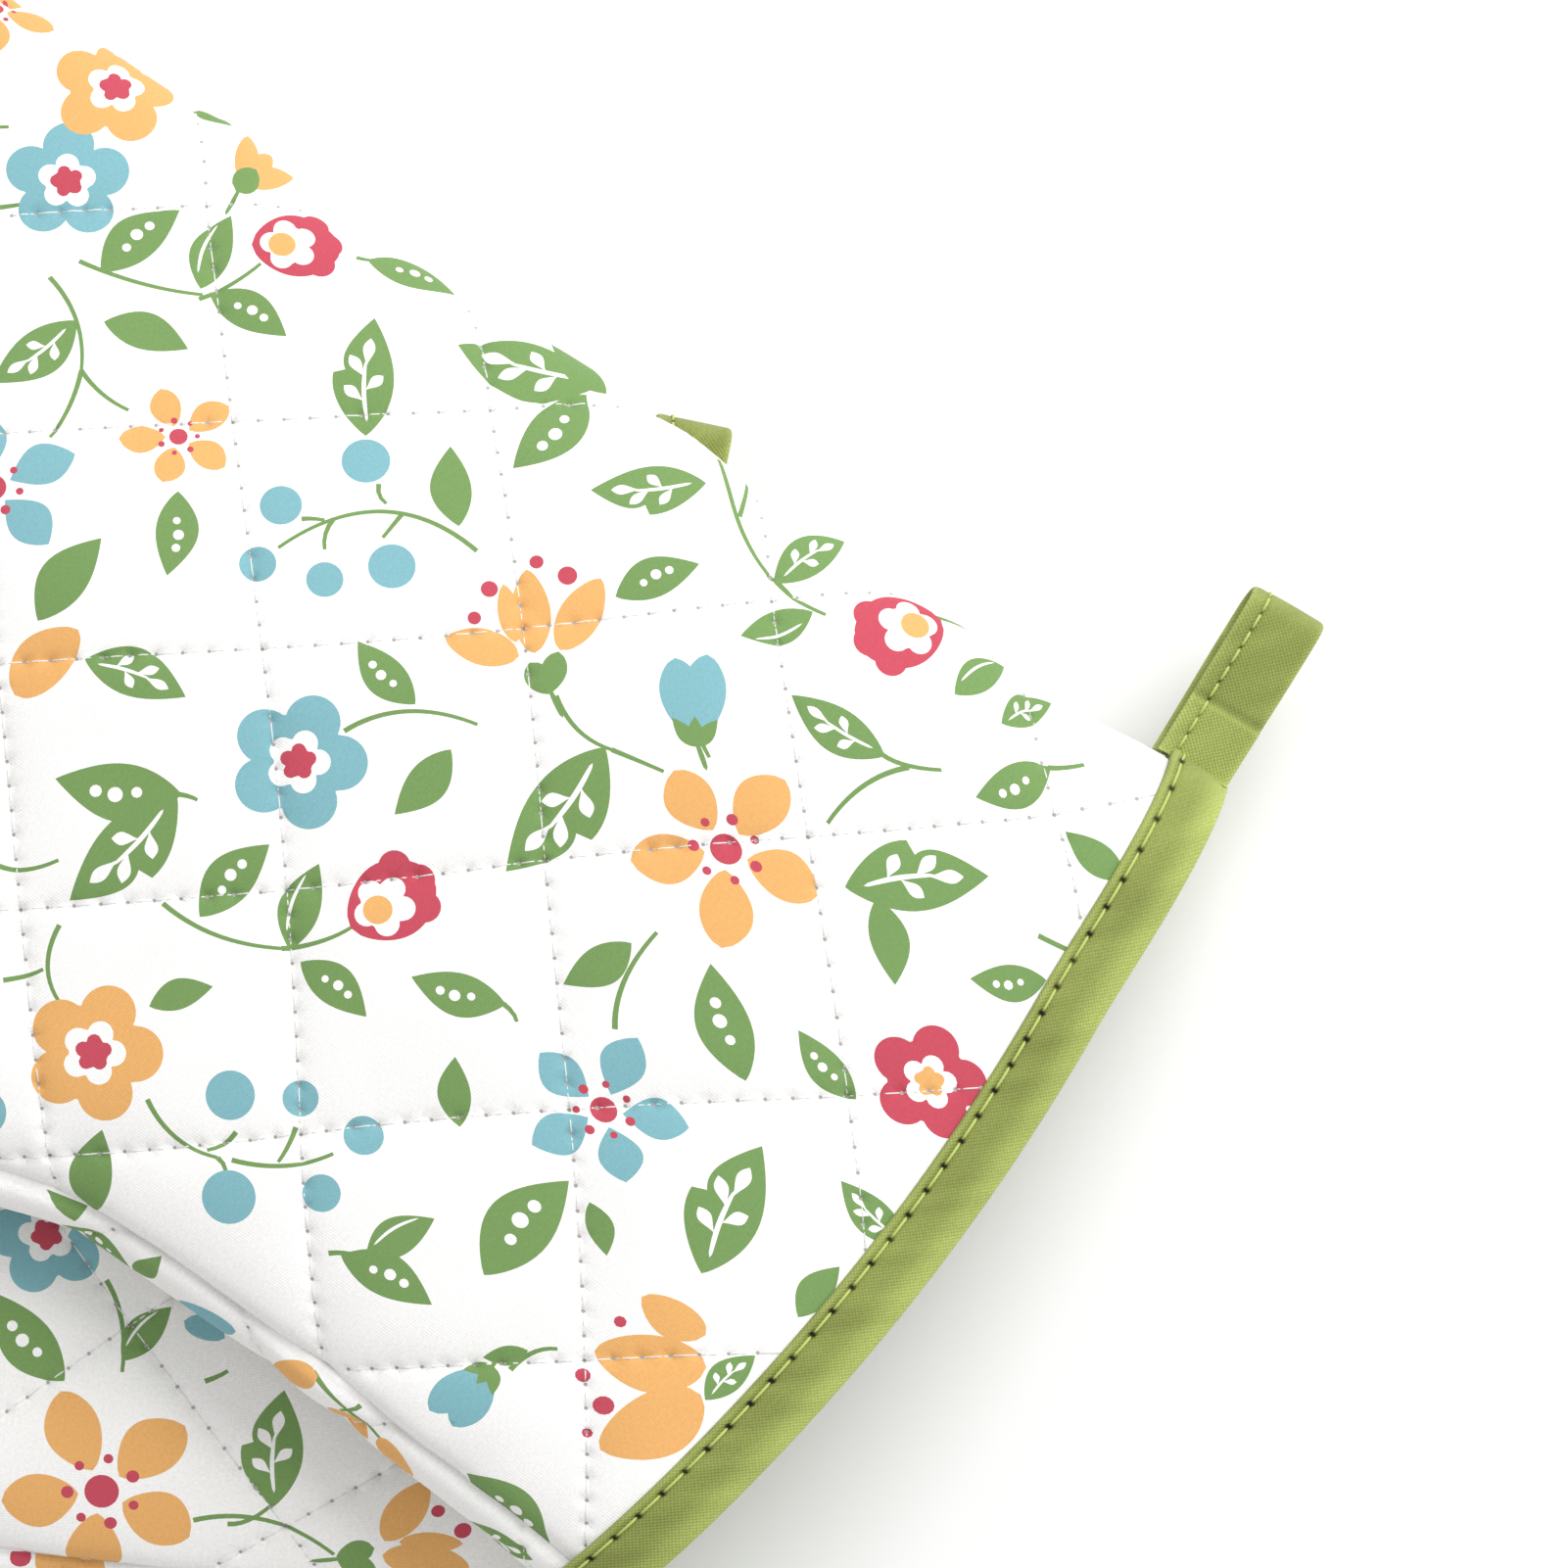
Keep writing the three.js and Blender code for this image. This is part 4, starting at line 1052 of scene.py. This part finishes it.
LOOP_STATIONS = 40
LOOP_STITCH = 3.2
LOOP_STITCH_AT = LOOP_WIDTH - 2.4  # across the tape
LOOP_ACROSS = (0, 0.25, 0.7, 1.4, 2.8, 4.4, 6, 7.6, 8.8, 9.25, LOOP_STITCH_AT, 9.95, 10.5, 11.2, 11.75,
               LOOP_WIDTH)


def loop_path(mitt):
    """The loop's middle line seen from the fingertips, out from the cuff, round its end and back."""
    root = HALF_WIDTH + CLOSE + max(0, LOOP_WIDTH * math.sin(mitt.loop_lean))
    tip = HALF_WIDTH + mitt.loop_reach - LOOP_SHEET / 2
    start = LOOP_SHEET / 2 + GAP
    knots = np.array([(root, start), (root + 9, start + 0.4), (tip - 12, LOOP_RISE + 0.6),
                      (tip - LOOP_TURN, LOOP_RISE)])
    t = np.linspace(0, 1, LOOP_STATIONS)[:, None]
    leg = ((1 - t)**3 * knots[0] + 3 * (1 - t)**2 * t * knots[1]
           + 3 * (1 - t) * t**2 * knots[2] + t**3 * knots[3])
    turn = np.linspace(QUARTER, -QUARTER, 14)[1:-1]
    bend = np.column_stack([knots[3, 0] + LOOP_TURN * np.cos(turn), LOOP_RISE * np.sin(turn)])
    return root, tip, np.vstack([leg, bend, leg[::-1] * (1, -1)])


def on_loop(mitt, root, path, off, w, at):
    """Points of the loop: off its middle line, at w across the tape, at places along its path."""
    ahead = unit(np.gradient(path, axis=0))
    u, h, du, dh = (np.interp(at, np.arange(len(path)), v) for v in (*path.T, *ahead.T))
    u, h = u - dh * off, h + du * off
    w = w + LOOP_SKEW * at / (len(path) - 1)
    s, c = math.sin(mitt.loop_lean), math.cos(mitt.loop_lean)
    spot = placed(mitt, root + (u - root) * c - w * s, (u - root) * s + w * c, h)
    level = placed(mitt, np.array([root]), np.array([LOOP_WIDTH / 2]), np.array([0.0]))[0, 2]
    spot[:, 2] = level + h
    return spot


def loop_tape(mitt, material):
    """Tape folded lengthwise, run out from the far cuff corner, turned and led back beneath itself."""
    root, tip, path = loop_path(mitt)
    at = np.arange(len(path), dtype=float)
    lapped = LOOP_STATIONS * LOOP_LAP / (tip - root)
    lap = LOOP_LAP_SHEET * (1 - smooth(at, lapped - 0.6, lapped + 0.4))
    reach = run_of(path)
    beat = 0.5 + 0.5 * np.cos(2 * math.pi * (reach - 1) / LOOP_STITCH)
    half = LOOP_SHEET / 2
    rows = []  # off the middle line, across, shade
    for side in (1, -1):
        for w in LOOP_ACROSS[::side]:
            edge = min(w, LOOP_WIDTH - w)
            full = half * math.sqrt(max(0.16, 1 - max(0, 1 - edge / 0.6) ** 2))
            groove = 0.2 * hump(w, LOOP_STITCH_AT, 0.5)
            lumps = 0.04 * (1 + wave_noise(reach, np.full(len(reach), w), 3, 4))
            off = full - groove * (0.6 + 0.8 * beat**2) - lumps + lap * (side > 0)
            # Painted highlight at the tape's rolled edges, painted shade along the stitch line
            rows.append((side * off, w, 0.5 * hump(edge, 0, 0.6) - 0.3 * hump(w, LOOP_STITCH_AT, 0.4)))
    points = np.array([on_loop(mitt, root, path, off, w, at) for off, w, _ in rows]).transpose(1, 0, 2)
    ring, last = len(rows), len(path) - 1
    faces = [*tube_section(len(path), ring)[:last * ring].tolist(), range(ring),
             range(last * ring + ring - 1, last * ring - 1, -1)]
    _, across, painted_shading = (list(column) for column in zip(*rows))
    flat = np.stack(np.meshgrid(reach, across, indexing="ij"), axis=-1)
    # The whole loop a little lighter; painted highlight on the tape over the lap, painted shade just past the
    # lap's end
    lapped_rows = (lap > 0.1)[:, None] * (np.arange(ring) < len(LOOP_ACROSS))
    shade = np.array(painted_shading) + 0.15 + 0.45 * lapped_rows - 0.35 * hump(at[:, None], lapped + 0.9, 0.8)
    # Painted shade in the needle holes of the topstitching
    shade = shade - 1.2 * beat[:, None] ** 8 * (np.abs(np.array(across) - LOOP_STITCH_AT) < 0.3)
    # Painted light and shade of diagonal wrinkles, and broader patches a little lighter or darker
    x, y = flat[..., 0], flat[..., 1]
    shade = shade + 0.2 * wave_noise(x + y, y * 0.3, 3, 17) + 0.15 * wave_noise(x, y, 8, 18)
    faces = [list(face)[::-1] for face in faces]
    made = tape_mesh(f"{mitt.name}_loop_tape", points, faces, flat, shade, material)
    # The topstitching of both sides
    count = int((reach[-1] - 2) / LOOP_STITCH)
    share, rise = np.array(LOOP_BEAD).T
    spots = np.interp(((np.arange(count)[:, None] + share) * LOOP_STITCH + 1).ravel(), reach, at)
    over, rise = np.interp(spots, at, lap), np.tile(rise, count)
    return made, [run_of_threads(count, lambda aside, up: on_loop(
        mitt, root, path, side * (half - 0.1 + rise + up) + over * (side > 0), LOOP_STITCH_AT + aside, spots))
        for side in (1, -1)]


# Materials

FLOOR_HALF = 3000
QUILT_RADIUS = 0.13  # of the threads
TAPE_RADIUS = 0.24


def woven(name, rough, sheen, thread, turn, contrast, mottle, bump):
    """Woven cloth in its mesh's colours, painted light and shade among them: the size and turn of its
    threads, how strongly they show, how uneven the dye is, and how much they stand up."""
    made = bpy.data.materials.new(name)
    made.use_nodes = True
    tree = made.node_tree

    def node(kind, output, inputs, **settings):
        """An output of a new node, whose inputs are given as values or as outputs to link."""
        new = tree.nodes.new("ShaderNode" + kind)
        for key, value in settings.items():
            setattr(new, key, value)
        joined(new, inputs)
        return new.outputs[output]

    def joined(to, inputs):
        for key, value in inputs.items():
            if isinstance(value, bpy.types.NodeSocket):
                tree.links.new(value, to.inputs[key])
            else:
                to.inputs[key].default_value = value

    def ranged(source, low, high, swing):
        return node("MapRange", "Result", {"Value": source, "From Min": low, "From Max": high,
                                           "To Min": 1 - swing, "To Max": 1 + swing})

    def times(a, b):
        return node("Math", "Value", {0: a, 1: b}, operation="MULTIPLY")

    flat = node("UVMap", "UV", {}, uv_map="flat")
    turned = node("Mapping", "Vector", {"Vector": flat, "Rotation": (0, 0, turn)})
    # Blender's bands repeat every pi / 10 at a scale of 1
    bands = {"Vector": turned, "Scale": math.pi / 10 / (thread * MM), "Distortion": 0.7, "Detail": 1,
             "Detail Scale": 0.4}
    waves = {n: node("TexWave", "Fac", bands, wave_type="BANDS", bands_direction=way, wave_profile="SIN")
             for n, way in enumerate("XY")}
    weave = node("Math", "Value", waves, operation="ADD")
    specks, clouds = (node("TexNoise", "Fac", {"Vector": flat, "Scale": 1 / (size * MM), "Detail": detail})
                      for size, detail in ((0.55, 3), (14, 2)))
    lit = times(ranged(weave, 0, 2, contrast),
                times(ranged(specks, 0.3, 0.7, mottle), ranged(clouds, 0.3, 0.7, mottle / 3)))
    # The mesh's colours: print and thread colours, with painted shade in the needle holes and painted light
    # and shade on the tapes
    own = node("Attribute", "Color", {}, attribute_name="ink")
    colour = node("VectorMath", "Vector", {0: own, "Scale": lit}, operation="SCALE")
    raised = node("Bump", "Normal", {"Strength": bump, "Distance": 0.12 * MM, "Height": weave})
    joined(tree.nodes["Principled BSDF"], {
        "Base Color": colour, "Normal": raised, "Roughness": rough, "Sheen Weight": sheen,
        "Sheen Roughness": 0.5, "Specular IOR Level": 0.25})
    return made


cotton = woven("printed_cotton", 0.9, 0.08, 0.42, 0.0, 0.01, 0.05, 0.2)
tape = woven("green_tape", 0.8, 0.15, 0.5, math.radians(45), 0.05, 0.09, 0.6)
yarn = woven("sewing_thread", 0.6, 0.1, 0.3, 0.0, 0.0, 0.02, 0.0)

paint = bpy.data.materials.new("pale_floor")
paint.use_nodes = True
shader = paint.node_tree.nodes["Principled BSDF"]
shader.inputs["Base Color"].default_value = (0.9, 0.9, 0.9, 1)
shader.inputs["Roughness"].default_value = 0.9
far = FLOOR_HALF
mesh_object("floor", [(-far, -far, 0), (far, -far, 0), (far, far, 0), (-far, far, 0)],
                     [(0, 1, 2, 3)], paint)

for mitt in (LOWER, UPPER):
    for sign, side in ((-1, "under"), (1, "top")):
        cloth, runs = panel(mitt, sign, cotton)
        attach(cloth, "root")
        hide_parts(f"{mitt.name}_{side}_panel")
        sewn = threads(f"{mitt.name}_{side}_quilting", [runs], QUILT_RADIUS, COTTON_THREAD, yarn)
    bound, bound_runs = binding(mitt, tape)
    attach(bound, "root")
    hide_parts(f"{mitt.name}_cuff_binding")
    hung, hung_runs = loop_tape(mitt, tape)
    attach(hung, "root")
    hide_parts(f"{mitt.name}_hanging_loop")
    sewn = threads(f"{mitt.name}_tape_stitches", bound_runs + hung_runs, TAPE_RADIUS, TAPE_THREAD, yarn)


# Light and camera

AZIMUTH, ELEVATION = math.radians(-69.02), math.radians(80.42)
DISTANCE = 1.96677
TARGET = Vector((0.0729, -0.11858, 0))
FOCAL_PIXELS = 12638.5
PHOTO_SIDE = 1601

look = Vector((-math.sin(AZIMUTH) * math.cos(ELEVATION), math.cos(AZIMUTH) * math.cos(ELEVATION),
               -math.sin(ELEVATION)))
right = Vector((math.cos(AZIMUTH), math.sin(AZIMUTH), 0))
up = right.cross(look)
lens_of = bpy.data.cameras.new("camera")
lens_of.sensor_width = 36
lens_of.lens = FOCAL_PIXELS * lens_of.sensor_width / PHOTO_SIDE
lens_of.clip_end = 20
camera = bpy.data.objects.new("camera", lens_of)
turned = Matrix((right, up, -look)).transposed().to_4x4()
camera.matrix_world = Matrix.Translation(TARGET - look * DISTANCE) @ turned
bpy.context.scene.collection.objects.link(camera)
bpy.context.scene.camera = camera

world = bpy.data.worlds.new("studio")
world.use_nodes = True
sky = world.node_tree.nodes["Background"]
sky.inputs["Color"].default_value = (1, 1, 1, 1)
sky.inputs["Strength"].default_value = 0.72
bpy.context.scene.world = world

key = bpy.data.lights.new("key", "AREA")
key.energy = 17.5
key.size = 1.2
key_at = bpy.data.objects.new("key", key)
key_at.location = (0.95, -0.45, 0.95)
key_at.rotation_euler = (Vector((0, -0.05, 0)) - key_at.location).to_track_quat("-Z", "Y").to_euler()
bpy.context.scene.collection.objects.link(key_at)
bpy.context.scene.view_settings.view_transform = "Standard"
